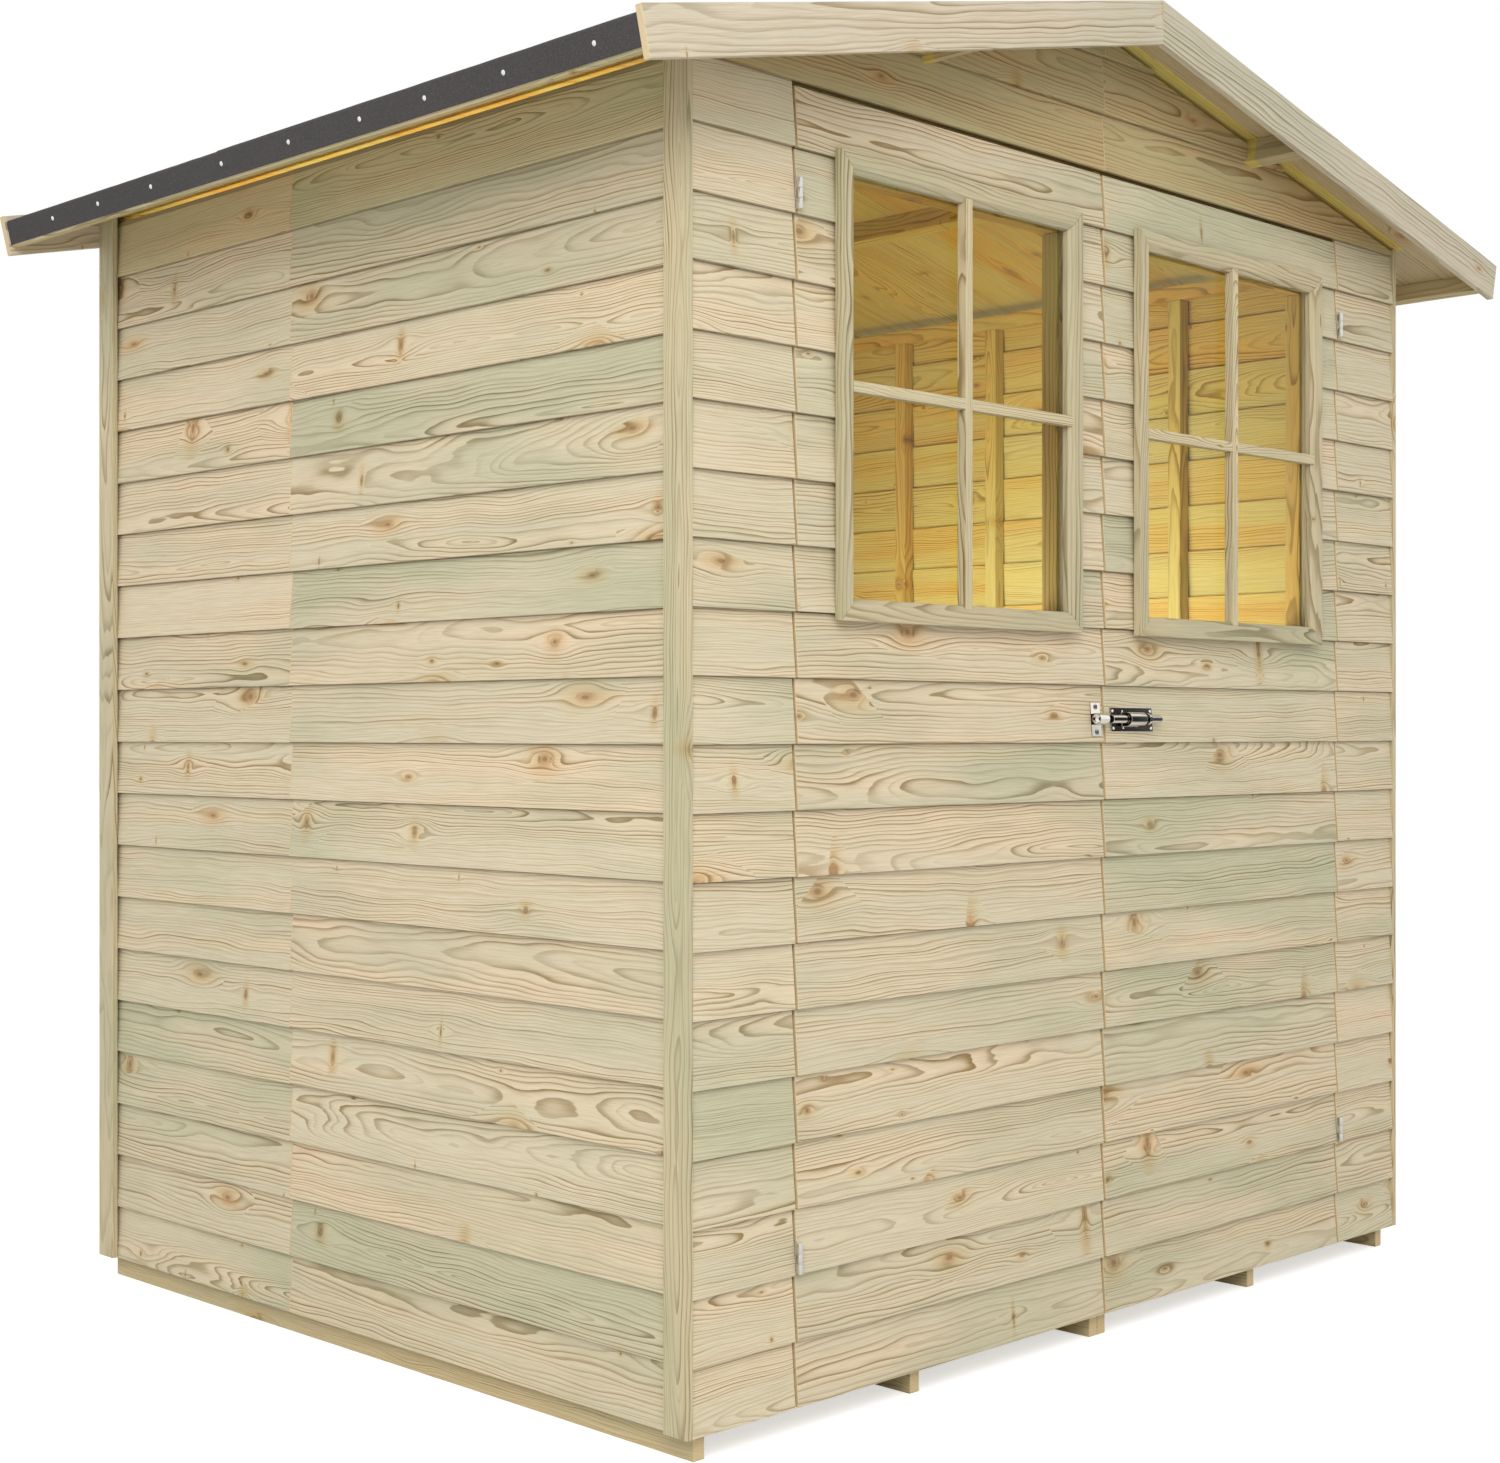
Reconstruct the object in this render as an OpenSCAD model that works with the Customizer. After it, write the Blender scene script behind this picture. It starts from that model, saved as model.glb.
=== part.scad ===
// Apex garden shed: overlap-clad timber walls, a felted roof and a pair of glazed doors in the front gable.
// Millimetres. +Z is up, the doors face -Y, and the origin lies on the ground under the middle of the roof.

/* [Cladding] */
// Height of board that shows from one lip to the next
board_cover = 90; // [84:1:96]
// Thickness of one board
board_t = 7.5; // [6:0.5:9]
// Height of board tucked up behind the board above
board_lap = 15; // [10:1:22]
// Courses of boards up to the head of the doorway
door_courses = 20; // [19:1:22]

/* [Walls] */
// Width over the front boards
front_w = 1798; // [1600:2:2200]
// Width of the front boards beside the doorway
panel_w = 193.5; // [160:0.5:260]
// Depth over the front and back boards
side_l = 1496; // [1300:2:2000]
// Depth of a framing timber, in from the boards
frame_d = 28; // [24:1:36]
// Face width of a framing timber
frame_w = 28; // [24:1:36]
// Posts and studs along the back wall
back_studs = 5; // [4:1:7]
// Hairline left where two timbers meet in a joint
joint_gap = 0.2; // [0.1:0.1:0.5]
// Width of a corner strip
strip_w = 46; // [36:1:60]
// Thickness of a corner strip
strip_t = 10; // [7:0.5:14]

/* [Floor] */
// Height of joist that shows below the boards
joist_show = 36; // [28:1:42]
// Full height of a floor joist
joist_h = 50; // [46:1:64]
// Width of a floor joist
joist_w = 20; // [16:1:30]
// Thickness of the floor boards
floor_t = 12; // [9:1:18]
// Space between the two floor panels
floor_split = 1; // [0.5:0.5:3]

/* [Roof] */
// Pitch of the roof in degrees
roof_pitch = 13; // [10:0.5:18]
// Height of the roof boards' underside over the door head, at the outer face of the side walls
eave_rise = 14.2; // [11:0.2:20]
// Space between the tops of the wall boards and the roof boards
roof_gap = 7.5; // [4:0.5:10]
// Reach of the barge boards past the side boards
eave_reach = 190; // [150:2:240]
// Reach of the front barge boards past the front boards
front_reach = 109; // [90:1:140]
// Thickness of the roof boards
deck_t = 12; // [9:1:18]
// Thickness of the roofing felt
felt_t = 2.5; // [1.5:0.5:4]
// Depth of felt turned down over the eave
felt_drop = 42; // [34:1:46]
// Height of the batten under the eave
batten_h = 32; // [32:1:38]
// Thickness of the batten under the eave
batten_t = 20; // [16:1:28]
// Height of a barge board
barge_h = 66; // [60:1:72]
// Thickness of a barge board
barge_t = 12; // [9:1:18]
// Height of a barge board above the felt
barge_rise = 7; // [5:0.5:12]
// Reach of a barge board past the felt at the eave
barge_tip = 3; // [2:0.5:8]
// Width of a purlin
purlin_w = 28; // [22:1:38]
// Height of a purlin
purlin_h = 40; // [30:1:50]
// Distance of a purlin from the ridge, down the slope
purlin_down = 440; // [380:5:500]

/* [Doors] */
// Space beside, over and under a door
leaf_gap = 5; // [4:0.5:8]
// Space between the two doors
meeting_gap = 6; // [5.5:0.5:9]
// Set-back of the meeting stile from the edge of the boards
stile_back = 4; // [3:0.5:8]

/* [Windows] */
// Courses of boards cut away for the window
window_courses = 7; // [5:1:8]
// Courses of boards over the window
over_courses = 1; // [1:1:3]
// Width of the door's boards that shows beside a casing
window_side = 72.75; // [66:0.25:120]
// Face width of a casing
casing_w = 31; // [28:1:36]
// Cover of the casing over the boards
casing_cover = 10; // [8:1:12]
// Height of the casing in front of the boards
casing_proud = 13; // [11:0.5:16]
// Width of the bevel on the casing's inner edge
casing_bevel = 8; // [5:0.5:11]
// Depth of the bevel on the casing's inner edge
casing_slope = 7; // [5:0.5:9]
// Width of a glazing bar
bar_w = 16; // [13:1:22]
// Set-back of a glazing bar from the face of the casing
bar_down = 1; // [0.5:0.25:3]
// Depth of the glass behind the lips of the boards
glass_back = 4; // [3:0.5:7]
// Thickness of the glass
glass_t = 3; // [2:0.5:4]
// Width of the beads that seat the glass on the frame of the door
bead_w = 14; // [12:1:16]

/* [Hinges] */
// Height of a hinge
hinge_h = 42; // [36:1:60]
// Radius of the knuckles
knuckle_r = 4; // [3.5:0.25:4.5]
// Radius of the hinge pin
hinge_pin_r = 2; // [1.5:0.1:2.2]
// Thickness of a hinge leaf
hinge_leaf_t = 1.5; // [1:0.1:1.8]
// Depth of a hinge leaf, back from the pin
hinge_leaf_d = 34; // [28:1:40]
// Height of the lower hinge above the foot of the boards
hinge_low = 204; // [180:2:260]
// Distance of the upper hinge below the head of the doorway
hinge_down = 154; // [120:2:260]

/* [Bolt] */
// Height of the bolt above the lip of its course
bolt_up = 36; // [32:1:44]
// Length of the base plate
plate_l = 113; // [105:1:125]
// Height of the base plate
plate_h = 38; // [34:1:42]
// Thickness of the base plate and the keep's ears
plate_t = 1.5; // [1:0.1:2]
// Space from the meeting line to the base plate
plate_in = 16; // [12:1:20]
// Radius of the sliding bolt
bolt_r = 6.5; // [5.5:0.1:7]
// Outer radius of the bolt's housing
housing_r = 11; // [10:0.5:13]
// Length of the bolt's housing
housing_l = 43; // [38:1:48]
// Space from the meeting line to the keep
keep_in = 11; // [9:1:14]
// Width of the keep
keep_w = 24; // [20:1:28]
// Height of the keep over its two ears
keep_h = 53; // [48:1:58]
// Space round the bolt in the keep
keep_clear = 1; // [0.6:0.1:1.5]
// Space from the meeting line to the drawn bolt
bolt_in = 4; // [3.5:0.5:6]

/* [Hidden] */
$fn = 48;

// Extra length of a cut past the face that it leaves
overrun = 5;
// Running space between the hinge pin and a knuckle, and between two knuckles
pin_clear = 0.1;
knuckle_clear = 0.4;
// Space between the lips of the boards and a hinge knuckle
knuckle_off = 1;
// Running space between the bolt and its housing, and between its collars and the plate
bolt_clear = 0.1;
collar_clear = 0.5;
// Height of a guide collar round the bolt, its length, and its place beyond the housing
collar_rim = 2.5;
collar_l = 6;
collar_gap = 11;
// Length of bolt that stays out of the last collar when the bolt is shot
tail_l = 3;
// Depth to which the bolt enters its keep
bolt_grip = 12.5;
// Space round the edge of the glass, and round the casing in its hole
glass_edge = 4;
casing_clear = 0.5;
// Space round a purlin where it passes through a gable
notch_clear = 0.5;

// Places of the studs along a side wall: at its ends, under the joint in the boards, and halfway between
side_stud_shares = [0, 0.287, 0.624, 0.808, 1];

wood = "#d9cfa8";
smooth_wood = "#cfcba4";
pale_wood = "#e4d9bf";
warm_wood = "#c9a85c";
felt_grey = "#4a4848";
pane = "#b9cfd2";
steel = "#8d8f92";

// Cladding section, measured out from the face of the frame
lean = board_t / board_cover;
clad_in = board_t + lean * board_lap;
clad_d = clad_in + board_t;
lean_angle = atan(lean);

// Heights above the ground
wall_z = joist_show;
floor_z = joist_h + floor_t;
door_h = door_courses * board_cover;
head_z = wall_z + door_h;

// Faces of the frame, and of the roof's ends
roof_l = front_reach + side_l + barge_t;
barge_front_y = -roof_l / 2;
barge_back_y = roof_l / 2;
front_y = barge_front_y + front_reach;
back_y = front_y + side_l;
front_frame_y = front_y + clad_d;
back_frame_y = back_y - clad_d;
side_x = front_w / 2;
side_frame_x = side_x - clad_d;
inner_l = back_frame_y - front_frame_y - 2 * frame_d;

// Roof section: distance down the slope, and height square to it over the underside of the roof boards
ridge_z = head_z + eave_rise + side_x * tan(roof_pitch);
roof_seat = joint_gap / cos(roof_pitch);
felt_low = deck_t + joint_gap;
felt_top = felt_low + felt_t;
barge_top = felt_top + barge_rise;
barge_end = (side_x + eave_reach - barge_top * sin(roof_pitch)) / cos(roof_pitch);
felt_end = barge_end - barge_tip;
fold_in = felt_end - felt_t;
deck_end = fold_in - joint_gap;
deck_front_y = barge_front_y + barge_t;
deck_back_y = barge_back_y - barge_t;

// Doorway
opening_w = front_w - 2 * panel_w;
leaf_w = (opening_w - meeting_gap) / 2 - leaf_gap;
leaf_x = meeting_gap / 2;
leaf_top = door_h - leaf_gap;
leaf_foot = floor_z + leaf_gap - wall_z;
hinge_x = opening_w / 2 - leaf_gap / 2;
hinge_y = front_y - knuckle_r - knuckle_off;

// Window, about the middle of its door
window_w = leaf_w - 2 * window_side;
window_last = door_courses - over_courses;
window_course = window_last - window_courses;
hole_h = window_courses * board_cover;
hole_w = window_w - 2 * casing_cover;
window_h = hole_h + 2 * casing_cover;
window_up = (window_course + window_last) / 2 * board_cover;
window_x = leaf_x + leaf_w / 2;
bar_proud = casing_proud - bar_down;
bevel_back = casing_slope - casing_proud;
bar_reach = casing_bevel * (casing_slope - bar_down) / casing_slope;
sight_w = window_w - 2 * casing_w;
sight_h = window_h - 2 * casing_w;
bead_ring = 2 * (casing_cover + casing_clear);

// Bolt, in the plane of the board that carries it
bolt_course = floor(door_courses / 2);
bolt_off = plate_t + bolt_r + collar_rim + collar_clear;
bolt_travel = bolt_in + keep_in + bolt_grip;
housing_at = plate_in + (plate_l - housing_l) / 2 - collar_l;
tail_at = housing_at + housing_l + collar_gap;
bolt_l = tail_at + collar_l + tail_l + bolt_travel - bolt_in;

function roof_point(down, up) = [
    down * cos(roof_pitch) + up * sin(roof_pitch),
    ridge_z - down * sin(roof_pitch) + up * cos(roof_pitch)
];
function ridge_down(up) = -up * tan(roof_pitch);

// Saw-tooth outline of overlapping boards, as depth out from the frame and height above the foot
function lap_outline(first, last, top) = concat(
    [for (k = [first:1:last]) if (k < last) each [
        [-clad_d, k * board_cover], [-clad_in, (k + 1) * board_cover]]],
    [
        [-clad_d, last * board_cover],
        [-clad_d + lean * (top - last * board_cover), top],
        [-clad_in + lean * (top - last * board_cover), top]
    ],
    [for (k = [last:-1:first + 1]) each [
        [-board_t, k * board_cover + board_lap], [0, k * board_cover + board_lap]]],
    [[-clad_in, first * board_cover]]
);

// Boards that run along +X for a length, with their lips towards -Y and the frame's face at y = 0
module lap_boards(first, last, top, length)
    rotate([90, 0, 90]) linear_extrude(height = length) polygon(lap_outline(first, last, top));

// Solid of an outline in X and Z between two places along Y
module between(y0, y1)
    translate([0, y1, 0]) rotate([90, 0, 0]) linear_extrude(height = y1 - y0) children();

// Box given by two opposite corners
module box(low, high) translate(low) cube(high - low);

module both_sides() {
    children();
    mirror([1, 0, 0]) children();
}

// Strip of the right-hand roof slope, cut upright at the ridge
module roof_strip(low, high, end)
    polygon([
        roof_point(ridge_down(low), low), roof_point(end, low),
        roof_point(end, high), roof_point(ridge_down(high), high)
    ]);

// Outline of everything that stays a space below the roof boards
module under_roof(space) {
    top = ridge_z - space;
    eave = top - side_x * tan(roof_pitch);
    polygon([[-side_x, 0], [side_x, 0], [side_x, eave], [0, top], [-side_x, eave]]);
}

module purlin_section(clear)
    polygon([
        roof_point(purlin_down - purlin_w / 2 - clear, -purlin_h - clear),
        roof_point(purlin_down + purlin_w / 2 + clear, -purlin_h - clear),
        roof_point(purlin_down + purlin_w / 2 + clear, overrun),
        roof_point(purlin_down - purlin_w / 2 - clear, overrun)
    ]);

module purlin_notches(y0, y1)
    both_sides() between(y0 - overrun, y1 + overrun) purlin_section(notch_clear);

// Floor

module floor_joists() color(warm_wood)
    both_sides()
        for (x = [floor_split / 2, (side_frame_x - joist_w) / 2, side_frame_x - joist_w])
            box([x, front_frame_y, 0], [x + joist_w, back_frame_y, joist_h]);

module floor_boards() color(warm_wood)
    both_sides()
        box([floor_split / 2, front_frame_y, joist_h], [side_frame_x, back_frame_y, floor_z]);

// Side walls

module side_wall_boards() color(wood)
    translate([side_frame_x, front_frame_y, wall_z]) rotate([0, 0, 90])
        lap_boards(0, door_courses - 1, door_h + eave_rise - roof_gap, back_frame_y - front_frame_y);

module side_wall_frame() color(warm_wood) {
    top = head_z - frame_w;
    x0 = side_frame_x - frame_d;
    y0 = front_frame_y + frame_d;
    for (z = [floor_z, top])
        box([x0, y0, z], [side_frame_x, y0 + inner_l, z + frame_w]);
    for (share = side_stud_shares) {
        y = y0 + share * (inner_l - frame_w);
        box([x0, y, floor_z + frame_w + joint_gap], [side_frame_x, y + frame_w, top - joint_gap]);
    }
}

module left_wall_boards() mirror([1, 0, 0]) side_wall_boards();
module right_wall_boards() side_wall_boards();
module left_wall_frame() mirror([1, 0, 0]) side_wall_frame();
module right_wall_frame() side_wall_frame();

// Gable walls

// Head rail across a gable, with the two sloping rails over it on each side of the purlins
module gable_rails(y0, y1) {
    intersection() {
        box([-side_frame_x, y0, head_z], [side_frame_x, y1, head_z + frame_w]);
        between(y0 - overrun, y1 + overrun) under_roof(roof_seat);
    }
    both_sides() difference() {
        between(y0, y1) roof_strip(-frame_w, -joint_gap, side_frame_x / cos(roof_pitch));
        purlin_notches(y0, y1);
        box([-overrun, y0 - overrun, 0], [side_x, y1 + overrun, head_z + frame_w + joint_gap]);
        box([-overrun, y0 - overrun, 0], [joint_gap / 2, y1 + overrun, ridge_z + overrun]);
    }
}

module back_wall_boards() color(wood)
    difference() {
        intersection() {
            translate([side_x, back_frame_y, wall_z]) rotate([0, 0, 180])
                lap_boards(0, ceil((ridge_z - wall_z) / board_cover) - 1, ridge_z - wall_z, front_w);
            between(back_frame_y - overrun, back_y + overrun) under_roof(roof_gap);
        }
        purlin_notches(back_frame_y, back_y);
    }

module back_wall_frame() color(warm_wood) {
    y0 = back_frame_y - frame_d;
    pitch = (2 * side_frame_x - frame_w) / (back_studs - 1);
    gable_rails(y0, back_frame_y);
    for (k = [0:back_studs - 1])
        box([-side_frame_x + k * pitch, y0, floor_z],
            [-side_frame_x + k * pitch + frame_w, back_frame_y, head_z - joint_gap]);
    for (k = [0:back_studs - 2])
        box([-side_frame_x + k * pitch + frame_w + joint_gap, y0, floor_z],
            [-side_frame_x + (k + 1) * pitch - joint_gap, back_frame_y, floor_z + frame_w]);
}

module front_right_boards() color(wood)
    intersection() {
        translate([opening_w / 2, front_frame_y, wall_z])
            lap_boards(0, door_courses - 1, door_h + board_lap, panel_w);
        between(front_y - overrun, front_frame_y + overrun) under_roof(roof_gap);
    }

module front_left_boards() mirror([1, 0, 0]) front_right_boards();

module front_gable_boards() color(wood)
    difference() {
        intersection() {
            translate([-side_x, front_frame_y, wall_z])
                lap_boards(door_courses, ceil((ridge_z - wall_z) / board_cover) - 1, ridge_z - wall_z, front_w);
            between(front_y - overrun, front_frame_y + overrun) under_roof(roof_gap);
        }
        purlin_notches(front_y, front_frame_y);
    }

module front_frame() color(warm_wood) {
    y1 = front_frame_y + frame_d;
    post_top = head_z - joint_gap;
    gable_rails(front_frame_y, y1);
    both_sides() {
        box([opening_w / 2, front_frame_y, floor_z], [opening_w / 2 + frame_w, y1, post_top]);
        box([side_frame_x - frame_w, front_frame_y, floor_z], [side_frame_x, y1, post_top]);
        box([opening_w / 2 + frame_w + joint_gap, front_frame_y, floor_z],
            [side_frame_x - frame_w - joint_gap, y1, floor_z + frame_w]);
    }
}

module corner_strips() color(smooth_wood)
    both_sides()
        for (y = [front_y, back_y - strip_w])
            intersection() {
                box([side_x, y, wall_z], [side_x + strip_t, y + strip_w, ridge_z]);
                between(y - overrun, y + strip_w + overrun)
                    polygon([roof_point(0, -joint_gap), roof_point(deck_end, -joint_gap), [side_x, 0], [0, 0]]);
            }

// Roof

module right_roof_boards() color(warm_wood)
    between(deck_front_y, deck_back_y) roof_strip(0, deck_t, deck_end);

module left_roof_boards() mirror([1, 0, 0]) right_roof_boards();

// Sheet of felt over the boards, turned down over the eave
module right_roof_felt() color(felt_grey)
    between(deck_front_y, deck_back_y)
        polygon([
            roof_point(ridge_down(felt_low), felt_low), roof_point(fold_in, felt_low),
            roof_point(fold_in, felt_top - felt_drop), roof_point(felt_end, felt_top - felt_drop),
            roof_point(felt_end, felt_top), roof_point(ridge_down(felt_top), felt_top)
        ]);

module left_roof_felt() mirror([1, 0, 0]) right_roof_felt();

module purlins() color(warm_wood)
    both_sides() between(deck_front_y, deck_back_y)
        polygon([
            roof_point(purlin_down - purlin_w / 2, -purlin_h), roof_point(purlin_down + purlin_w / 2, -purlin_h),
            roof_point(purlin_down + purlin_w / 2, -joint_gap), roof_point(purlin_down - purlin_w / 2, -joint_gap)
        ]);

module eave_battens() color(warm_wood)
    both_sides() between(deck_front_y, deck_back_y)
        polygon([
            roof_point(deck_end - batten_t, -batten_h), roof_point(deck_end, -batten_h),
            roof_point(deck_end, -joint_gap), roof_point(deck_end - batten_t, -joint_gap)
        ]);

module barge_board(y0) color(pale_wood)
    between(y0, y0 + barge_t) roof_strip(barge_top - barge_h, barge_top, barge_end);

module front_right_barge_board() barge_board(barge_front_y);
module front_left_barge_board() mirror([1, 0, 0]) barge_board(barge_front_y);
module back_right_barge_board() barge_board(deck_back_y);
module back_left_barge_board() mirror([1, 0, 0]) barge_board(deck_back_y);

// Doors

// Overlapping boards of the right-hand door, in fields round the window hole
module door_boards() color(wood)
    translate([leaf_x, front_frame_y, wall_z]) {
        side_w = (leaf_w - hole_w) / 2;
        lap_boards(0, window_course - 1, window_course * board_cover - joint_gap, leaf_w);
        for (x = [0, leaf_w - side_w])
            translate([x, 0, 0])
                lap_boards(window_course, window_last - 1, window_last * board_cover - joint_gap, side_w);
        lap_boards(window_last, door_courses - 1, leaf_top, leaf_w);
    }

// Stiles and rails behind the boards, with two uprights that close the sides of the window
module door_frame() color(warm_wood)
    translate([leaf_x, front_frame_y, wall_z]) {
        left = stile_back;
        right = leaf_w;
        sill = window_up - sight_h / 2;
        head = window_up + sight_h / 2;
        reveal = window_side + casing_w;
        for (x = [left, right - frame_w])
            box([x, 0, leaf_foot], [x + frame_w, frame_d, leaf_top]);
        for (z = [leaf_foot, sill - frame_w, head, leaf_top - frame_w])
            box([left + frame_w + joint_gap, 0, z], [right - frame_w - joint_gap, frame_d, z + frame_w]);
        for (x = [reveal - frame_w, leaf_w - reveal])
            box([x, 0, sill + joint_gap], [x + frame_w, frame_d, head - joint_gap]);
    }

// Four mitred bars round a rectangle; the section is given as depth and distance in from the outer edge
module mitred_ring(w, h, section, section_w) {
    module bar(length, drop)
        intersection() {
            translate([-length / 2, 0, -drop]) rotate([90, 0, 90])
                linear_extrude(height = length) polygon(section);
            between(-casing_proud - overrun, clad_d + frame_d)
                polygon([
                    [-length / 2 + joint_gap, -drop], [length / 2 - joint_gap, -drop],
                    [length / 2 - section_w - joint_gap, section_w - drop],
                    [-length / 2 + section_w + joint_gap, section_w - drop]
                ]);
        }
    for (turn = [0, 180]) rotate([0, turn, 0]) bar(w, h / 2);
    for (turn = [90, 270]) rotate([0, turn, 0]) bar(h, w / 2);
}

// End of a glazing bar at a height over the middle of the window, coped over the bevel of the casing
function coped_end(high) = [[-bar_proud, high + bar_reach], [bevel_back, high], [glass_back, high]];

// Glazing bar along the local Z axis; its side is given as depth and height
module glazing_bar(side)
    translate([-bar_w / 2, 0, 0]) rotate([90, 0, 90]) linear_extrude(height = bar_w) polygon(side);

// Puts a piece at the middle of the right-hand window, with y = 0 on the lips of the boards
module at_window() translate([window_x, front_y, wall_z + window_up]) children();

// Casing over the edge of the boards, glazing bars in front of the glass and beads behind it
module window_frame() color(smooth_wood)
    at_window() {
        high = sight_h / 2 - joint_gap;
        beside = bar_w / 2 + joint_gap;
        rim = casing_cover + casing_clear;
        mitred_ring(window_w, window_h, [
            [0, 0], [-casing_proud, 0], [-casing_proud, casing_w - casing_bevel],
            [bevel_back, casing_w], [glass_back, casing_w], [glass_back, rim], [0, rim]
        ], casing_w);
        glazing_bar(concat(coped_end(high), [
            [glass_back, -high], [bevel_back, -high], [-bar_proud, -high - bar_reach]
        ]));
        for (turn = [90, -90])
            rotate([0, turn, 0]) glazing_bar(concat(coped_end(sight_w / 2 - joint_gap), [
                [glass_back, beside], [-bar_proud, beside]
            ]));
        mitred_ring(window_w - bead_ring, window_h - bead_ring, [
            [glass_back + glass_t, 0], [glass_back + glass_t, bead_w], [clad_d, bead_w], [clad_d, 0]
        ], bead_w);
    }

module window_glass() color(pane, 0.4)
    at_window() {
        w = hole_w - 2 * glass_edge;
        h = hole_h - 2 * glass_edge;
        box([-w / 2, glass_back, -h / 2], [w / 2, glass_back + glass_t, h / 2]);
    }

module left_door_boards() mirror([1, 0, 0]) door_boards();
module right_door_boards() door_boards();
module left_door_frame() mirror([1, 0, 0]) door_frame();
module right_door_frame() door_frame();
module left_window_frame() mirror([1, 0, 0]) window_frame();
module right_window_frame() window_frame();
module left_window_glass() mirror([1, 0, 0]) window_glass();
module right_window_glass() window_glass();

// Hinges

// Runs its children at both hinges of the right-hand door, with the pin on the local Z axis
module at_hinges()
    for (z = [hinge_low, door_h - hinge_down])
        translate([hinge_x, hinge_y, wall_z + z - hinge_h / 2]) children();

module knuckle(from, to)
    translate([0, 0, from]) cylinder(r = knuckle_r, h = to - from);

// Leaf screwed to the door post, with the outer knuckles and the pin
module fixed_leaf() {
    third = hinge_h / 3;
    plate = leaf_gap / 2 - hinge_leaf_t;
    knuckle(0, third);
    knuckle(2 * third, hinge_h);
    cylinder(r = hinge_pin_r, h = hinge_h);
    for (z = [0, 2 * third])
        box([plate, 0, z], [leaf_gap / 2, knuckle_r + knuckle_off, z + third]);
    box([plate, knuckle_r + knuckle_off, 0], [leaf_gap / 2, hinge_leaf_d, hinge_h]);
}

// Leaf screwed to the door's edge, with the middle knuckle
module moving_leaf() {
    low = hinge_h / 3 + knuckle_clear;
    high = 2 * hinge_h / 3 - knuckle_clear;
    difference() {
        union() {
            knuckle(low, high);
            box([-leaf_gap / 2, 0, low], [hinge_leaf_t - leaf_gap / 2, hinge_leaf_d, high]);
            box([-leaf_gap / 2, knuckle_r + knuckle_off, 0],
                [hinge_leaf_t - leaf_gap / 2, hinge_leaf_d, hinge_h]);
        }
        cylinder(r = hinge_pin_r + pin_clear, h = hinge_h);
    }
}

module wall_hinge_leaves() color(steel) both_sides() at_hinges() fixed_leaf();
module right_door_hinge_leaves() color(steel) at_hinges() moving_leaf();
module left_door_hinge_leaves() mirror([1, 0, 0]) right_door_hinge_leaves();

// Bolt

// Puts a piece on the sloping face of the bolt's board: local -Y stands out from it
module at_bolt()
    translate([0, front_y + lean * bolt_up, wall_z + bolt_course * board_cover + bolt_up])
        rotate([-lean_angle, 0, 0]) children();

// Round bar along X at the height of the bolt, between two places
module round_bar(r, x0, x1)
    translate([x0, -bolt_off, 0]) rotate([0, 90, 0]) cylinder(r = r, h = x1 - x0);

// Arched guide that stands on the plate
module guide(r, x0, x1) {
    round_bar(r, x0, x1);
    box([x0, -bolt_off, -r], [x1, -plate_t, r]);
}

// Base plate on the right-hand door with the housing and two collars that guide the bolt
module bolt_plate() color(steel)
    at_bolt() difference() {
        union() {
            box([plate_in, -plate_t, -plate_h / 2], [plate_in + plate_l, 0, plate_h / 2]);
            guide(housing_r, housing_at, housing_at + housing_l);
            guide(bolt_r + collar_rim, tail_at, tail_at + collar_l);
        }
        round_bar(bolt_r + bolt_clear, housing_at - overrun, tail_at + collar_l + overrun);
    }

module bolt() color(steel)
    at_bolt() round_bar(bolt_r, bolt_in, bolt_in + bolt_l);

// Staple on the left-hand door that takes the end of the bolt
module bolt_keep() color(steel)
    at_bolt() difference() {
        union() {
            box([-keep_in - keep_w, -plate_t, -keep_h / 2], [-keep_in, 0, keep_h / 2]);
            guide(bolt_r + collar_rim, -keep_in - keep_w, -keep_in);
        }
        round_bar(bolt_r + keep_clear, -keep_in - keep_w - overrun, -keep_in + overrun);
    }

floor_joists();
floor_boards();
left_wall_boards();
left_wall_frame();
right_wall_boards();
right_wall_frame();
back_wall_boards();
back_wall_frame();
front_left_boards();
front_right_boards();
front_gable_boards();
front_frame();
corner_strips();
left_roof_boards();
right_roof_boards();
left_roof_felt();
right_roof_felt();
purlins();
eave_battens();
front_left_barge_board();
front_right_barge_board();
back_left_barge_board();
back_right_barge_board();
wall_hinge_leaves();
left_door_boards();
left_door_frame();
left_window_frame();
left_window_glass();
left_door_hinge_leaves();
bolt_keep();
right_door_boards();
right_door_frame();
right_window_frame();
right_window_glass();
right_door_hinge_leaves();
bolt_plate();
bolt();
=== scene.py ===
# %% [markdown]
# # A pine garden shed, dressed board by board
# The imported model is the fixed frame: walls, doors, roof and bolt at their real size and place.
# This lesson puts real timber over it. Every board is its own small solid with its own grain,
# and the felt, window casings, clouts, hinges and bolt follow.

# %% Load the frame
import math

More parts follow.
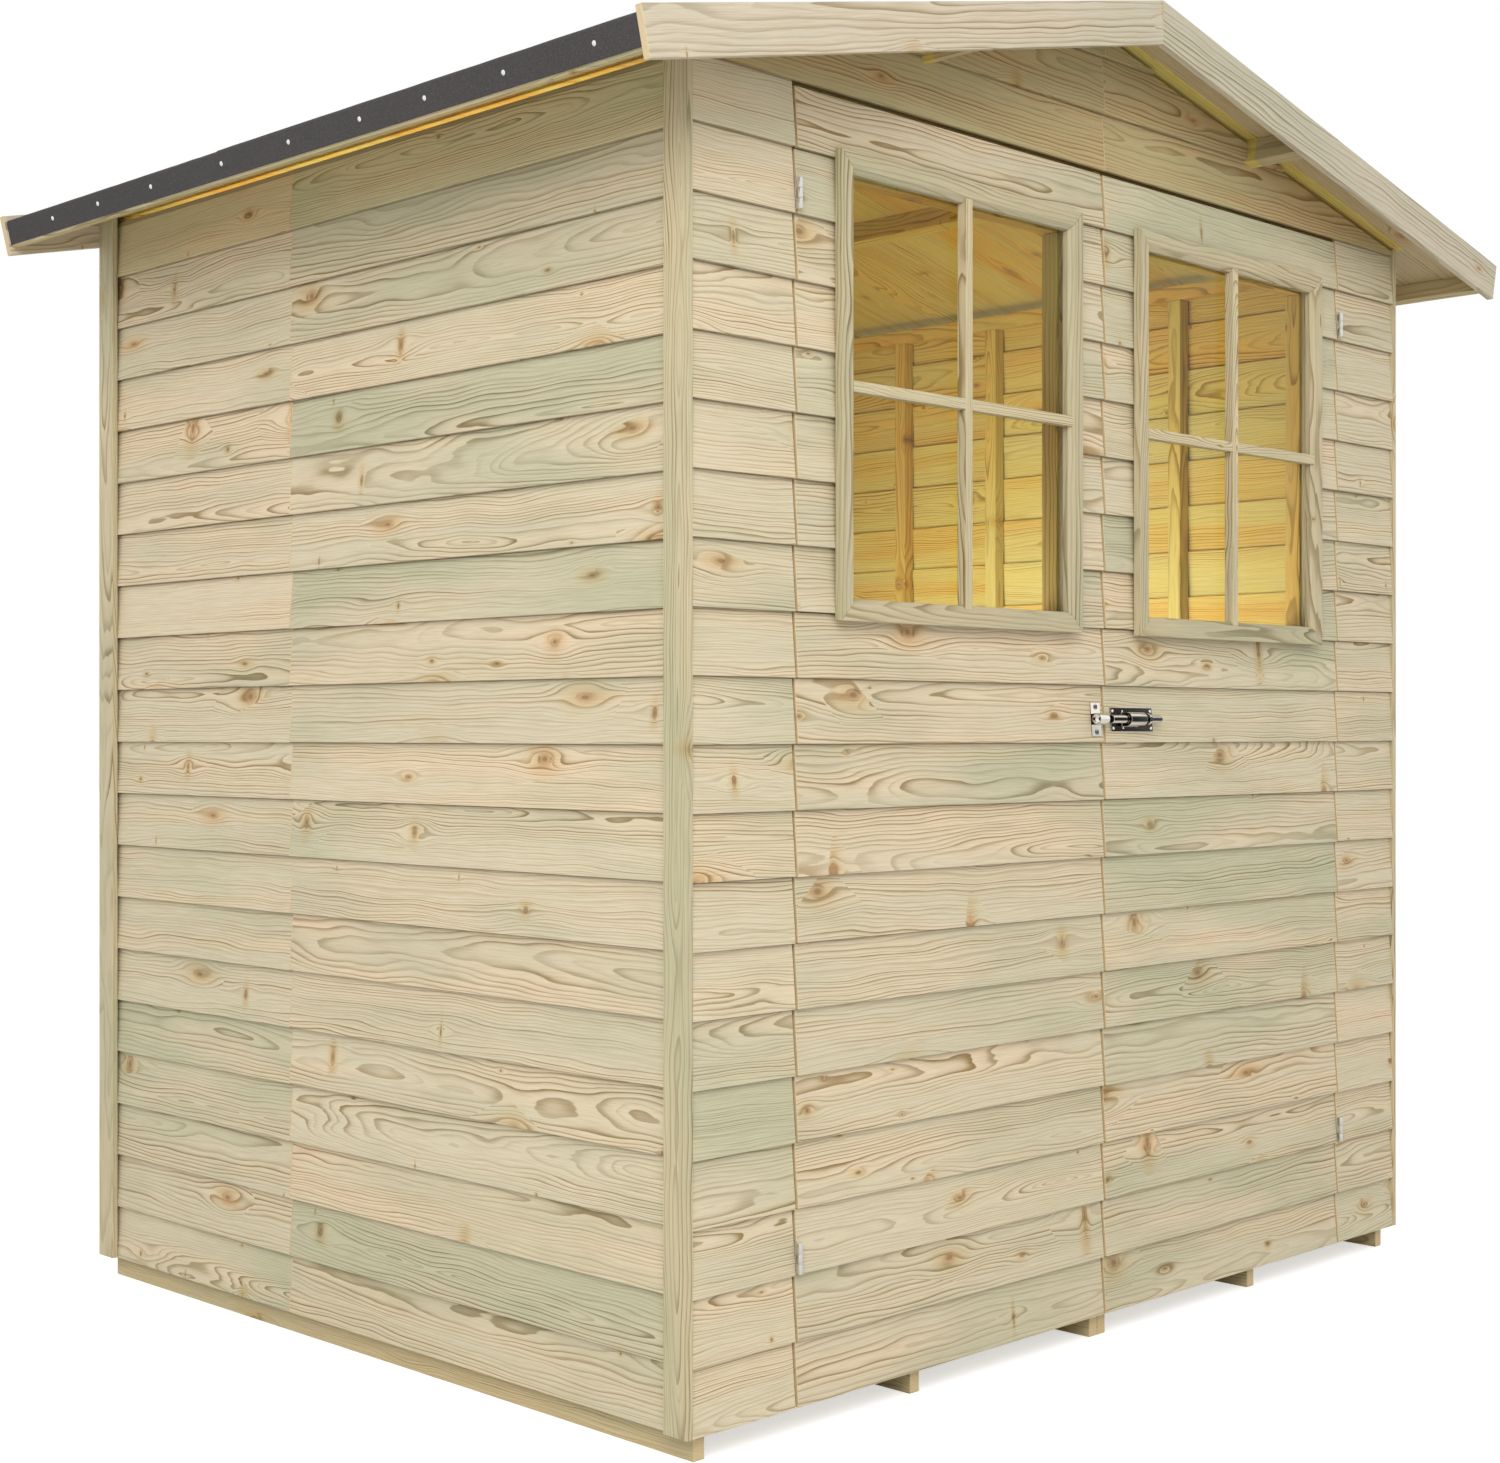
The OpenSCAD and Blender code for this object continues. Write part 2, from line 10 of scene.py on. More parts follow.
import bmesh
import bpy
import numpy as np
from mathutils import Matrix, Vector


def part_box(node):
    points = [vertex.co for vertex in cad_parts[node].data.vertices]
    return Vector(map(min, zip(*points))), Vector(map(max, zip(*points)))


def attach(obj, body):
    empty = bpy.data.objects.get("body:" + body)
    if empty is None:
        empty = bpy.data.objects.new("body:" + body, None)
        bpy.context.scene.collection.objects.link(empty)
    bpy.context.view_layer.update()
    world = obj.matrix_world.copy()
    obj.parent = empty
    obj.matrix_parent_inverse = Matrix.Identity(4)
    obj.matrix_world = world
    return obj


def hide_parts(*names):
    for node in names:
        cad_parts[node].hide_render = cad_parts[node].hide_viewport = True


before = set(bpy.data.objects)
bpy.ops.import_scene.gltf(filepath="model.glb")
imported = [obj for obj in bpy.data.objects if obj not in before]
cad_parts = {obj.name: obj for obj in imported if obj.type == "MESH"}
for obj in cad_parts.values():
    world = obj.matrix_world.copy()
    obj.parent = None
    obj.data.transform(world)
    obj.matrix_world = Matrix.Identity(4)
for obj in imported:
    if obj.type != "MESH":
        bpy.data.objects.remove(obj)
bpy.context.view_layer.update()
scene = bpy.context.scene

# %% [markdown]
# ## Sizes
# The sizes could be typed again, but then they would drift from the solids. Reading them off the
# nodes' boxes keeps every board on the part. Only what a box can't tell, such as the thickness of
# one board inside a wall, is written here, in metres.

# %% Read the walls
left_low, left_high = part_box("left_wall_boards")
gable_low, gable_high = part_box("front_gable_boards")
back_low, back_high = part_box("back_wall_boards")
panel_low, panel_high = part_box("front_right_boards")
door_low, door_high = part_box("right_door_boards")
casing_low, casing_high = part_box("right_window_frame")

COURSES = 20
FOOT = left_low.z
HEAD = gable_low.z
COVER = (HEAD - FOOT) / COURSES
BOARD_T = 0.0075
LAP = 0.015
LEAN = BOARD_T / COVER
CLAD = gable_high.y - gable_low.y
LIP_X = -left_low.x
FRAME_X = -left_high.x
LIP_FRONT = gable_low.y
FRAME_FRONT = gable_high.y
LIP_BACK = back_high.y
FRAME_BACK = back_low.y
RIGHT = Vector((1, 0, 0))
BACK = Vector((0, 1, 0))
UP = Vector((0, 0, 1))
SIDES = (-1, 1)
print(f"course {COVER * 1000:.1f} mm, cladding {CLAD * 1000:.2f} mm deep, walls {2 * LIP_X:.3f} m wide")

# %% Read the roof
deck_low, deck_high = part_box("right_roof_boards")

PITCH = math.radians(13)
DECK_T = 0.012
RIDGE = deck_high.z - DECK_T / math.cos(PITCH)
DECK_END = (deck_high.x - DECK_T * math.sin(PITCH)) / math.cos(PITCH)


def roof_at(down, up, y, side=1):
    """A point of the roof: distance down the slope, and height square to it over the boards' underside."""
    x = down * math.cos(PITCH) + up * math.sin(PITCH)
    z = RIDGE - down * math.sin(PITCH) + up * math.cos(PITCH)
    return Vector((side * x, y, z))


print(f"ridge at {RIDGE:.4f} m, roof boards {DECK_END:.4f} m down the slope")

# %% [markdown]
# ## Camera
# The board lines of the two walls run to two vanishing points, and those fix the camera: level,
# a little under eye height, and almost square to the corner. The lens follows from the same lines.

# %% Place the camera
PHOTO_W = 1500
FOCAL_PX = 2270.3
SENSOR_MM = 36.0
CAMERA_AT = Vector((-2.9304, -2.8216, 0.9532))
CAMERA_TURN = math.radians(-45.188)

camera = bpy.data.objects.new("camera", bpy.data.cameras.new("camera"))
camera.data.sensor_width = SENSOR_MM
camera.data.lens = FOCAL_PX * SENSOR_MM / PHOTO_W
camera.location = CAMERA_AT
camera.rotation_euler = (math.radians(90), 0, CAMERA_TURN)
scene.collection.objects.link(camera)
scene.camera = camera
print(f"lens {camera.data.lens:.2f} mm")

# %% [markdown]
# ## Node helpers
# Shader trees are long when each node takes five lines. Small helpers shorten them: one puts a node
# in the tree with its inputs, and the others name the nodes that come up most. Sockets are linked,
# numbers are set.

# %% Helpers for shader trees


def put(tree, kind, *inputs, out=0, **settings):
    """Adds a node, fills its inputs in order, and gives back one of its outputs."""
    made = tree.nodes.new(kind)
    for name, value in settings.items():
        setattr(made, name, value)
    for socket, value in zip(made.inputs, inputs):
        if isinstance(value, bpy.types.NodeSocket):
            tree.links.new(value, socket)
        elif value is not None:
            socket.default_value = value
    return made.outputs[out]


def sums(tree, operation, *inputs):
    return put(tree, "ShaderNodeMath", *inputs, operation=operation)


def times(tree, first, second):
    return sums(tree, "MULTIPLY", first, second)


def vectors(tree, operation, *inputs):
    return put(tree, "ShaderNodeVectorMath", *inputs, operation=operation)


def parts(tree, vector):
    """The three numbers of a vector, each as a socket."""
    return put(tree, "ShaderNodeSeparateXYZ", vector).node.outputs


def distance(tree, vector):
    return vectors(tree, "LENGTH", vector).node.outputs["Value"]


def mixed(tree, share, first, second, mode="MIX"):
    inputs = [share, None, None, None, None, None, first, second]
    return put(tree, "ShaderNodeMix", *inputs, out=2, data_type="RGBA", blend_type=mode)


def ramped(tree, value, low, high, start=0.0, end=1.0, kind="SMOOTHSTEP"):
    return put(tree, "ShaderNodeMapRange", value, low, high, start, end, interpolation_type=kind)


def noise(tree, place, scale, detail=2.0, roughness=0.5):
    return put(tree, "ShaderNodeTexNoise", place, None, scale, detail, roughness)


def streaks(tree, place, scales, detail=2.0, roughness=0.5):
    """Noise with its own scale along, across and through a board, so that it runs with the grain."""
    return noise(tree, vectors(tree, "MULTIPLY", place, scales), 1.0, detail, roughness)


print("tree helpers ready")

# %% Helpers for groups and finishes
SOCKETS = {"vector": "NodeSocketVector", "value": "NodeSocketFloat", "colour": "NodeSocketColor"}


def paint(red, green, blue):
    """A colour as a paint chart gives it, 0 to 255, as the linear colour that a shader takes."""
    shares = [c / 255 for c in (red, green, blue)]
    linear = [s / 12.92 if s <= 0.04045 else ((s + 0.055) / 1.055) ** 2.4 for s in shares]
    return (*linear, 1.0)


def group_of(name, inputs, outputs):
    """A new node group with named sockets. Gives back the group, its inputs and its outputs by name."""
    tree = bpy.data.node_groups.new(name, "ShaderNodeTree")
    for socket, kind in inputs:
        tree.interface.new_socket(name=socket, in_out="INPUT", socket_type=SOCKETS[kind])
    for socket, kind in outputs:
        tree.interface.new_socket(name=socket, in_out="OUTPUT", socket_type=SOCKETS[kind])
    given = tree.nodes.new("NodeGroupInput").outputs
    result = tree.nodes.new("NodeGroupOutput").inputs
    return tree, given, result


def placed(tree, group, **inputs):
    """Puts a group into a tree. Input names are the socket names with _ for a space."""
    made = tree.nodes.new("ShaderNodeGroup")
    made.node_tree = group
    for name, value in inputs.items():
        socket = made.inputs[name.replace("_", " ")]
        if isinstance(value, bpy.types.NodeSocket):
            tree.links.new(value, socket)
        else:
            socket.default_value = value
    return made.outputs


def finish_of(name, roughness):
    """A new material of that name, with its tree and its surface."""
    material = bpy.data.materials.new(name)
    material.use_nodes = True
    surface = material.node_tree.nodes["Principled BSDF"]
    surface.inputs["Roughness"].default_value = roughness
    return material, material.node_tree, surface


def raised(tree, surface, height, strength, depth):
    """Lets a height show on a surface as fine relief."""
    relief = tree.nodes.new("ShaderNodeBump")
    relief.inputs["Strength"].default_value = strength
    relief.inputs["Distance"].default_value = depth
    tree.links.new(height, relief.inputs["Height"])
    tree.links.new(relief.outputs["Normal"], surface.inputs["Normal"])


print("group helpers ready")

# %% [markdown]
# ## The figure of pine
# Saw a log lengthwise and the growth rings come out as arches, ovals and lines. A photo of wood
# would show that, but it repeats and stretches. Here each board carries three numbers that place
# the log's heart: how far across the board it lies, how deep behind the face, and how it drifts
# along the length. The rings are then the distance from that heart, cut into equal steps, so a
# heart behind the board gives arches and a heart beside it gives straight lines.
# Knots come from a coarse pattern of cells, at most one to a cell. Near a knot the rings part and
# run round it, which draws the eyes.

# %% Figure group: where the knots lie
figure, given, result = group_of(
    "pine figure",
    [("Grain", "vector"), ("Heart", "vector"), ("Tone", "vector"), ("Ring Width", "value"),
     ("Knots", "value")],
    [("Ring", "value"), ("Fibre", "value"), ("Knot", "value"), ("Knot Rim", "value"),
     ("Knot Hue", "value"), ("Flare", "value"), ("Cloud", "value"), ("Stain", "value")],
)
grain = given["Grain"]
along, across, depth = parts(figure, grain)
heart = parts(figure, given["Heart"])

KNOT_CELL = (0.15, 0.075, 1.0)
KNOT_STRETCH = (0.45, 1.8)
KNOT_SIZES = (0.0018, 0.0130)
MOSTLY_SMALL = 1.9
EYE = (0.4, 1.0, 0.0)
RIPPLE = (9.0, 70.0, 70.0)
RAGGED = (0.25, 0.75, 0.72, 1.3)
cells = vectors(figure, "DIVIDE", grain, KNOT_CELL)
centres = put(figure, "ShaderNodeTexVoronoi", cells, None, 1.0, voronoi_dimensions="2D").node.outputs
chance = put(figure, "ShaderNodeSeparateColor", centres["Color"]).node.outputs
offset = vectors(figure, "SUBTRACT", cells, centres["Position"])
offset = vectors(figure, "MULTIPLY", offset, (*KNOT_CELL[:2], 0.0))
beside = parts(figure, offset)[1]
eye_reach = distance(figure, vectors(figure, "MULTIPLY", offset, EYE))
stretch = ramped(figure, chance[2], 0.0, 1.0, *KNOT_STRETCH, "LINEAR")
oval = put(figure, "ShaderNodeCombineXYZ", sums(figure, "DIVIDE", 1.0, stretch), stretch, 0.0)
offset = vectors(figure, "MULTIPLY", offset, oval)
ripple = streaks(figure, grain, RIPPLE)
reach = times(figure, distance(figure, offset), ramped(figure, ripple, *RAGGED, "LINEAR"))
present = sums(figure, "LESS_THAN", chance[0], given["Knots"])
size = ramped(figure, sums(figure, "POWER", chance[1], MOSTLY_SMALL), 0.0, 1.0, *KNOT_SIZES, "LINEAR")
near = sums(figure, "DIVIDE", reach, size)
print("knot cells of", KNOT_CELL[:2], "m, knots of", KNOT_SIZES, "m")

# %% Figure group: the look of a knot
KNOT_FADE = (1.5, 0.35)
FLARE_FADE = (4.4, 0.6)
RIM_OUTSIDE = (1.35, 1.1)
RIM_INSIDE = (0.75, 1.0)
RIM_BREAKS = (0.42, 0.62)
CORE = (0.65, 0.25, 0.0, 0.95)
EYE_RINGS = 2.6
EYE_LINE = (0.3, 0.95)
EYE_SHARE = 0.4
PARTING = (4.4, 0.7, 0.0, 0.92)
knot = times(figure, ramped(figure, near, *KNOT_FADE), present)
flare = times(figure, ramped(figure, near, *FLARE_FADE), present)
rim = times(figure, ramped(figure, near, *RIM_OUTSIDE), ramped(figure, near, *RIM_INSIDE))
rim = times(figure, rim, ramped(figure, ripple, *RIM_BREAKS))
rim = sums(figure, "MAXIMUM", rim, ramped(figure, near, *CORE))
eye = ramped(figure, sums(figure, "FRACT", times(figure, near, EYE_RINGS)), *EYE_LINE)
rim = sums(figure, "MAXIMUM", rim, times(figure, times(figure, eye, knot), EYE_SHARE))
rim = times(figure, rim, present)
parting = times(figure, ramped(figure, sums(figure, "DIVIDE", eye_reach, size), *PARTING), present)
print("figure group:", len(figure.nodes), "nodes for the knots")

# %% Figure group: distance from the drifting heart
SLOW = (1.5, 7.0, 7.0)
WAVE = (6.0, 20.0, 20.0)
WANDER_DEEP = 0.06
WANDER_ASIDE = 0.045
WAVE_SIZE = 0.017
RIPPLE_SIZE = 0.0030
KNOT_PUSH = 0.35
MIDDLE = 0.5
slow = sums(figure, "SUBTRACT", streaks(figure, grain, SLOW), MIDDLE)
drift = sums(figure, "MULTIPLY_ADD", heart[2], along, heart[1])
deep = sums(figure, "ADD", sums(figure, "MULTIPLY_ADD", slow, WANDER_DEEP, drift), depth)
aside = sums(figure, "SUBTRACT", across, heart[0])
aside = sums(figure, "SUBTRACT", aside, times(figure, beside, parting))
aside = sums(figure, "MULTIPLY_ADD", slow, WANDER_ASIDE, aside)
radius = sums(figure, "ADD", times(figure, aside, aside), times(figure, deep, deep))
radius = sums(figure, "SQRT", radius)
for bend, bend_size in ((streaks(figure, grain, WAVE, 1.0), WAVE_SIZE), (ripple, RIPPLE_SIZE)):
    radius = sums(figure, "MULTIPLY_ADD", sums(figure, "SUBTRACT", bend, MIDDLE), bend_size, radius)
push = times(figure, times(figure, flare, flare), times(figure, size, KNOT_PUSH))
radius = sums(figure, "ADD", radius, push)
print("figure group:", len(figure.nodes), "nodes with the heart")

# %% Figure group: rings
WIDE_TO_FINE = (-0.05, 0.05, 1.45, 0.7)
YEARS_SCALE = 0.35
YEARS_SWING = 1.6
LATE_LINE = (0.52, 0.90)
LATE_END = (1.0, 0.94)
LATE_SLOPE = (0.1, 0.9)
SLOPE_SHARE = 0.28
RING_END = (1.0, 0.95)
FAINTEST = 0.25
shade = parts(figure, given["Tone"])[2]
spacing = times(figure, given["Ring Width"], ramped(figure, shade, *WIDE_TO_FINE, "LINEAR"))
count = sums(figure, "DIVIDE", radius, spacing)
years = put(figure, "ShaderNodeTexNoise", None, count, YEARS_SCALE, 1.0, noise_dimensions="1D")
count = sums(figure, "MULTIPLY_ADD", years, YEARS_SWING, count)
step = sums(figure, "FRACT", count)
which = put(figure, "ShaderNodeTexWhiteNoise", None, sums(figure, "FLOOR", count), noise_dimensions="1D")
line = times(figure, ramped(figure, step, *LATE_LINE), ramped(figure, step, *LATE_END))
line = times(figure, line, 1 - SLOPE_SHARE)
late = sums(figure, "MULTIPLY_ADD", ramped(figure, step, *LATE_SLOPE), SLOPE_SHARE, line)
late = times(figure, late, ramped(figure, step, *RING_END))
ring = times(figure, late, ramped(figure, which, 0.0, 1.0, FAINTEST, 1.0, "LINEAR"))
print("figure group:", len(figure.nodes), "nodes with the rings")

# %% Figure group: fibre and patches of tone
FIBRE = (14.0, 520.0, 520.0)
CLOUD = (1.7, 8.0, 8.0)
STAIN = (1.6, 22.0, 22.0)
fibre = streaks(figure, grain, FIBRE, 2.0, 0.6)
cloud = streaks(figure, grain, CLOUD, 2.0, 0.55)
stain = streaks(figure, grain, STAIN, 1.0)
for name, socket in (("Ring", ring), ("Fibre", fibre), ("Knot", knot), ("Knot Rim", rim),
                     ("Knot Hue", chance[1]), ("Flare", flare), ("Cloud", cloud), ("Stain", stain)):
    figure.links.new(socket, result[name])
print("figure group:", len(figure.nodes), "nodes in all")

# %% [markdown]
# ## The colour of treated pine
# Pressure treatment leaves sapwood a cool grey-green, while heartwood stays cream to pink, so one
# board runs from one to the other along its length. The rings darken the colour under them rather
# than covering it, while knots, end cuts and a dark paint cover it in part; the dark paint is painted
# shade under board feet and in the gap over the doors, and a darker outside on purlins and roof boards.
# Indoors the same board is painted honey yellow, as the colour of untreated wood and as painted warm
# room light, and the front gable and the top course under the eaves take part of it as painted warm
# bounce light.
# One group does this for every pine finish, with the paints as its inputs.

# %% Colour group: the ground colour
colouring, given, result = group_of(
    "pine colour",
    [("Tone", "vector"), ("Kind", "vector"), ("Ring", "value"), ("Fibre", "value"), ("Knot", "value"),
     ("Knot Rim", "value"), ("Knot Hue", "value"), ("Flare", "value"), ("Cloud", "value"),
     ("Stain", "value"), ("Sapwood", "colour"), ("Green", "colour"), ("Pink", "colour"),
     ("Indoor", "colour"), ("Contrast", "value")],
    [("Colour", "colour")],
)
AMBER = paint(221, 180, 86)
GREEN_PATCHES = (0.32, 0.68, -0.5, 0.5)
PINK_PATCHES = (0.35, 0.65, -0.4, 0.4)
INDOOR_GREEN = 0.2
SHADE_LIFT = 0.45
green_tone, pink_tone, shade = parts(colouring, given["Tone"])
end_face, honey_share, darkened_share = parts(colouring, given["Kind"])
greening = ramped(colouring, given["Cloud"], *GREEN_PATCHES)
green_share = put(colouring, "ShaderNodeMath", green_tone, greening, operation="ADD", use_clamp=True)
pinking = ramped(colouring, given["Stain"], *PINK_PATCHES)
pink_share = put(colouring, "ShaderNodeMath", pink_tone, pinking, operation="ADD", use_clamp=True)
base = mixed(colouring, pink_share, given["Sapwood"], given["Pink"])
base = mixed(colouring, green_share, base, given["Green"])
warmed = mixed(colouring, pink_share, given["Indoor"], AMBER)
warmed = mixed(colouring, times(colouring, green_share, INDOOR_GREEN), warmed, given["Green"])
# Indoor faces take the honey colour, which is painted warm room light and, on untreated wood, its own colour.
# The front gable and the top course under the eaves take part of it as painted warm bounce light.
base = mixed(colouring, honey_share, base, warmed)
lift = sums(colouring, "MULTIPLY_ADD", shade, SHADE_LIFT, 1.0)
base = vectors(colouring, "SCALE", base, None, None, lift)
print("colour group:", len(colouring.nodes), "nodes for the ground")

# %% Colour group: rings, fibre and knots over it
RING_PAINT = paint(166, 148, 104)
RING_GREEN = paint(154, 152, 124)
RING_FADE = (0.36, 0.62, 0.4, 1.0)
FIBRE_SHARE = (0.38, 0.68, 0.0, 0.3)
FIBRE_PAINT = paint(216, 202, 178)
FLARE_SHARE = 0.6
FLARE_PAINT = paint(242, 216, 172)
KNOT_GREY = paint(130, 112, 82)
KNOT_GREEN = paint(128, 126, 100)
KNOT_RED = paint(194, 152, 110)
KNOT_HUES = (0.3, 0.8)
KNOT_GREENED = 0.7
RIM_PAINT = paint(106, 82, 54)
END_PAINT = paint(218, 194, 150)
# The last paint darkens a face: painted shade under board feet and in the gap over the doors, and a darker
# outside on purlins and roof boards.
DARKENING_PAINT = paint(92, 74, 48)
fade = sums(colouring, "MAXIMUM", ramped(colouring, given["Stain"], *RING_FADE), given["Flare"])
ring_share = times(colouring, times(colouring, given["Ring"], fade), given["Contrast"])
ring_paint = mixed(colouring, green_share, RING_PAINT, RING_GREEN)
fibre_share = ramped(colouring, given["Fibre"], *FIBRE_SHARE)
flare_share = times(colouring, given["Flare"], FLARE_SHARE)
for share, dark in ((ring_share, ring_paint), (fibre_share, FIBRE_PAINT), (flare_share, FLARE_PAINT)):
    base = mixed(colouring, share, base, dark, "MULTIPLY")
knot_paint = mixed(colouring, ramped(colouring, given["Knot Hue"], *KNOT_HUES), KNOT_GREY, KNOT_RED)
knot_paint = mixed(colouring, times(colouring, green_share, KNOT_GREENED), knot_paint, KNOT_GREEN)
# The last cover is the dark paint on the faces that the third kind number marks, which is partly painted
# shade.
for mask, most, cover in ((given["Knot"], 0.66, knot_paint), (given["Knot Rim"], 0.55, RIM_PAINT),
                          (end_face, 0.7, END_PAINT), (darkened_share, 0.85, DARKENING_PAINT)):
    base = mixed(colouring, times(colouring, mask, most), base, cover)
colouring.links.new(base, result["Colour"])
print("colour group:", len(colouring.nodes), "nodes in all")

# %% [markdown]
# ## Four pine finishes
# Rough-sawn cladding, planed strips and casings, paler barge boards and untreated framing are one
# species with four treatments, so they share both groups and differ in paints, ring width and bump.

# %% Pine materials
# HONEY is the colour of untreated wood and painted warm room light on indoor faces.
HONEY = paint(214, 196, 110)
RELIEF = (40.0, 520.0, 520.0)
RELIEF_SHARE = 0.6
PINE_GLOSS = 0.25


def pine(name, sapwood, green, pink, ring_width, knots, contrast, roughness, bump):
    material, tree, surface = finish_of(name, roughness)
    surface.inputs["Specular IOR Level"].default_value = PINE_GLOSS
    reads = {}
    for attribute in ("Grain", "Heart", "Tone", "Kind"):
        reads[attribute] = put(tree, "ShaderNodeAttribute", attribute_name=attribute.lower(), out=1)
    drawn = placed(tree, figure, Grain=reads["Grain"], Heart=reads["Heart"], Tone=reads["Tone"],
                   Ring_Width=ring_width, Knots=knots)
    marks = {mark.name.replace(" ", "_"): mark for mark in drawn}
    coloured = placed(tree, colouring, Tone=reads["Tone"], Kind=reads["Kind"], Sapwood=sapwood, Green=green,
                      Pink=pink, Indoor=HONEY, Contrast=contrast, **marks)
    tree.links.new(coloured["Colour"], surface.inputs["Base Color"])
    raised(tree, surface, streaks(tree, reads["Grain"], RELIEF, 1.0), RELIEF_SHARE, bump)
    return material


clad_pine = pine("clad_pine", paint(217, 207, 179), paint(198, 195, 165), paint(229, 210, 180),
                 ring_width=0.0042, knots=0.32, contrast=1.0, roughness=0.72, bump=0.0005)
planed_pine = pine("planed_pine", paint(206, 194, 160), paint(194, 188, 155), paint(212, 198, 164),
                   ring_width=0.0040, knots=0.06, contrast=1.0, roughness=0.55, bump=0.0002)
barge_pine = pine("barge_pine", paint(209, 199, 178), paint(198, 192, 169), paint(213, 200, 176),
                  ring_width=0.0060, knots=0.14, contrast=0.95, roughness=0.62, bump=0.0006)
frame_pine = pine("frame_pine", paint(208, 192, 152), paint(192, 184, 146), paint(214, 194, 154),
                  ring_width=0.0048, knots=0.26, contrast=0.85, roughness=0.65, bump=0.0003)
print("pine finishes:", [m.name for m in (clad_pine, planed_pine, barge_pine, frame_pine)])

# %% [markdown]
# ## Felt, glass and metal
# Mineral felt is bitumen with fine grit pressed in: dark, matt and speckled. The panes are clear
# glass that waves a little. The bolt is dark polished steel and the hinges are bright zinc. Their
# arrises and the keep's front are painted bright as wear and as painted highlights, and faces turned
# up or down are painted brighter as a painted reflection.

# %% The felt
GRIT_SCALE = 900.0
PATCH_SCALE = 3.5
GRIT_SHOWS = (0.55, 1.0, 0.0, 0.5)
felt, tree, surface = finish_of("roofing_felt", 0.85)
place = put(tree, "ShaderNodeTexCoord", out=3)
grit = put(tree, "ShaderNodeTexVoronoi", place, None, GRIT_SCALE, out=1)
speckle = put(tree, "ShaderNodeSeparateColor", grit)
dark = mixed(tree, noise(tree, place, PATCH_SCALE, 3.0), paint(56, 53, 54), paint(70, 67, 67))
dark = mixed(tree, ramped(tree, speckle, *GRIT_SHOWS), dark, paint(96, 92, 90))
tree.links.new(dark, surface.inputs["Base Color"])
raised(tree, surface, speckle, strength=0.5, depth=0.0004)
print("felt made with", len(tree.nodes), "nodes")

# %% Glass
PANE_IOR = 1.15
PANE_WAVES = 2.5
glass, tree, surface = finish_of("window_glass", 0.0)
surface.inputs["Transmission Weight"].default_value = 1.0
surface.inputs["IOR"].default_value = PANE_IOR
waves = noise(tree, put(tree, "ShaderNodeTexCoord", out=3), PANE_WAVES, 1.0)
raised(tree, surface, waves, strength=0.05, depth=0.002)
tinted = mixed(tree, waves, paint(246, 250, 248), paint(252, 254, 252))
tree.links.new(tinted, surface.inputs["Base Color"])
print("glass made with", len(tree.nodes), "nodes")

# %% Metals
SMEAR_SCALE = 60.0
SMEAR_FROM = 0.7
SMEAR_TO = 1.4
TURN_BLEND = 0.3
TURN_SHINE = 0.9


def metal(name, body_paint, wear_and_glint_paint, roughness, turned_from):
    """Polished metal. Faces that the mesh marks take the bright paint, as wear and as painted highlight,
    and faces turned to the sky or the floor are painted brighter, as a painted reflection."""
    material, tree, surface = finish_of(name, roughness)
    surface.inputs["Metallic"].default_value = 1.0
    worn = parts(tree, put(tree, "ShaderNodeAttribute", attribute_name="kind", out=1))[2]
    level = parts(tree, put(tree, "ShaderNodeNewGeometry", out=1))[2]
    # Painted reflection: faces turned up or down take the bright paint, as if sky and floor showed in them.
    lit = ramped(tree, sums(tree, "ABSOLUTE", level), turned_from, turned_from + TURN_BLEND, 0.0, TURN_SHINE)
    bright = sums(tree, "MAXIMUM", lit, worn)
    tree.links.new(mixed(tree, bright, body_paint, wear_and_glint_paint), surface.inputs["Base Color"])
    smear = noise(tree, put(tree, "ShaderNodeTexCoord", out=3), SMEAR_SCALE, 2.0)
    dulled = ramped(tree, smear, 0.3, 0.7, roughness * SMEAR_FROM, roughness * SMEAR_TO)
    tree.links.new(dulled, surface.inputs["Roughness"])
    return material


bolt_steel = metal("bolt_steel", paint(44, 41, 37), paint(240, 236, 228), roughness=0.14, turned_from=0.28)
zinc = metal("hinge_steel", paint(220, 220, 217), paint(246, 246, 244), roughness=0.28, turned_from=0.6)
print("metals:", bolt_steel.name, zinc.name)

# %% [markdown]
# ## Sawing a board
# A board could be a cube scaled long, but its ends and arrises would look like plastic. Each one
# here is a small solid: corners first, then cuts where a roof slope or a window takes a piece off,
# then a narrow bevel on every arris. The grain numbers come last, straight from where each point
# lies along, across and through the board, so no cut can disturb them.

# %% Boards as small solids
BOX_FACES = ((0, 1, 2, 3), (7, 6, 5, 4), (0, 4, 5, 1), (1, 5, 6, 2), (2, 6, 7, 3), (3, 7, 4, 0))
SHARP = math.radians(25)
BEVEL_SHAPE = 0.6


def solid(corners, faces=BOX_FACES):
    shape = bmesh.new()
    points = [shape.verts.new(c) for c in corners]
    for face in faces:
        shape.faces.new([points[i] for i in face])
    bmesh.ops.recalc_face_normals(shape, faces=shape.faces[:])
    return shape


def sliced(shape, point, normal, **settings):
    everything = shape.verts[:] + shape.edges[:] + shape.faces[:]
    bmesh.ops.bisect_plane(shape, geom=everything, plane_co=point, plane_no=normal, **settings)


def cut(shape, point, outward):
    """Takes off all that lies beyond a plane, and closes the cut."""
    sliced(shape, point, outward, clear_outer=True)
    bmesh.ops.holes_fill(shape, edges=[e for e in shape.edges if e.is_boundary], sides=0)


def scored(shape, *planes):
    """Draws a line round a solid at each plane, without taking anything off."""
    for point, normal in planes:
        sliced(shape, point, normal)
    shape.faces.index_update()


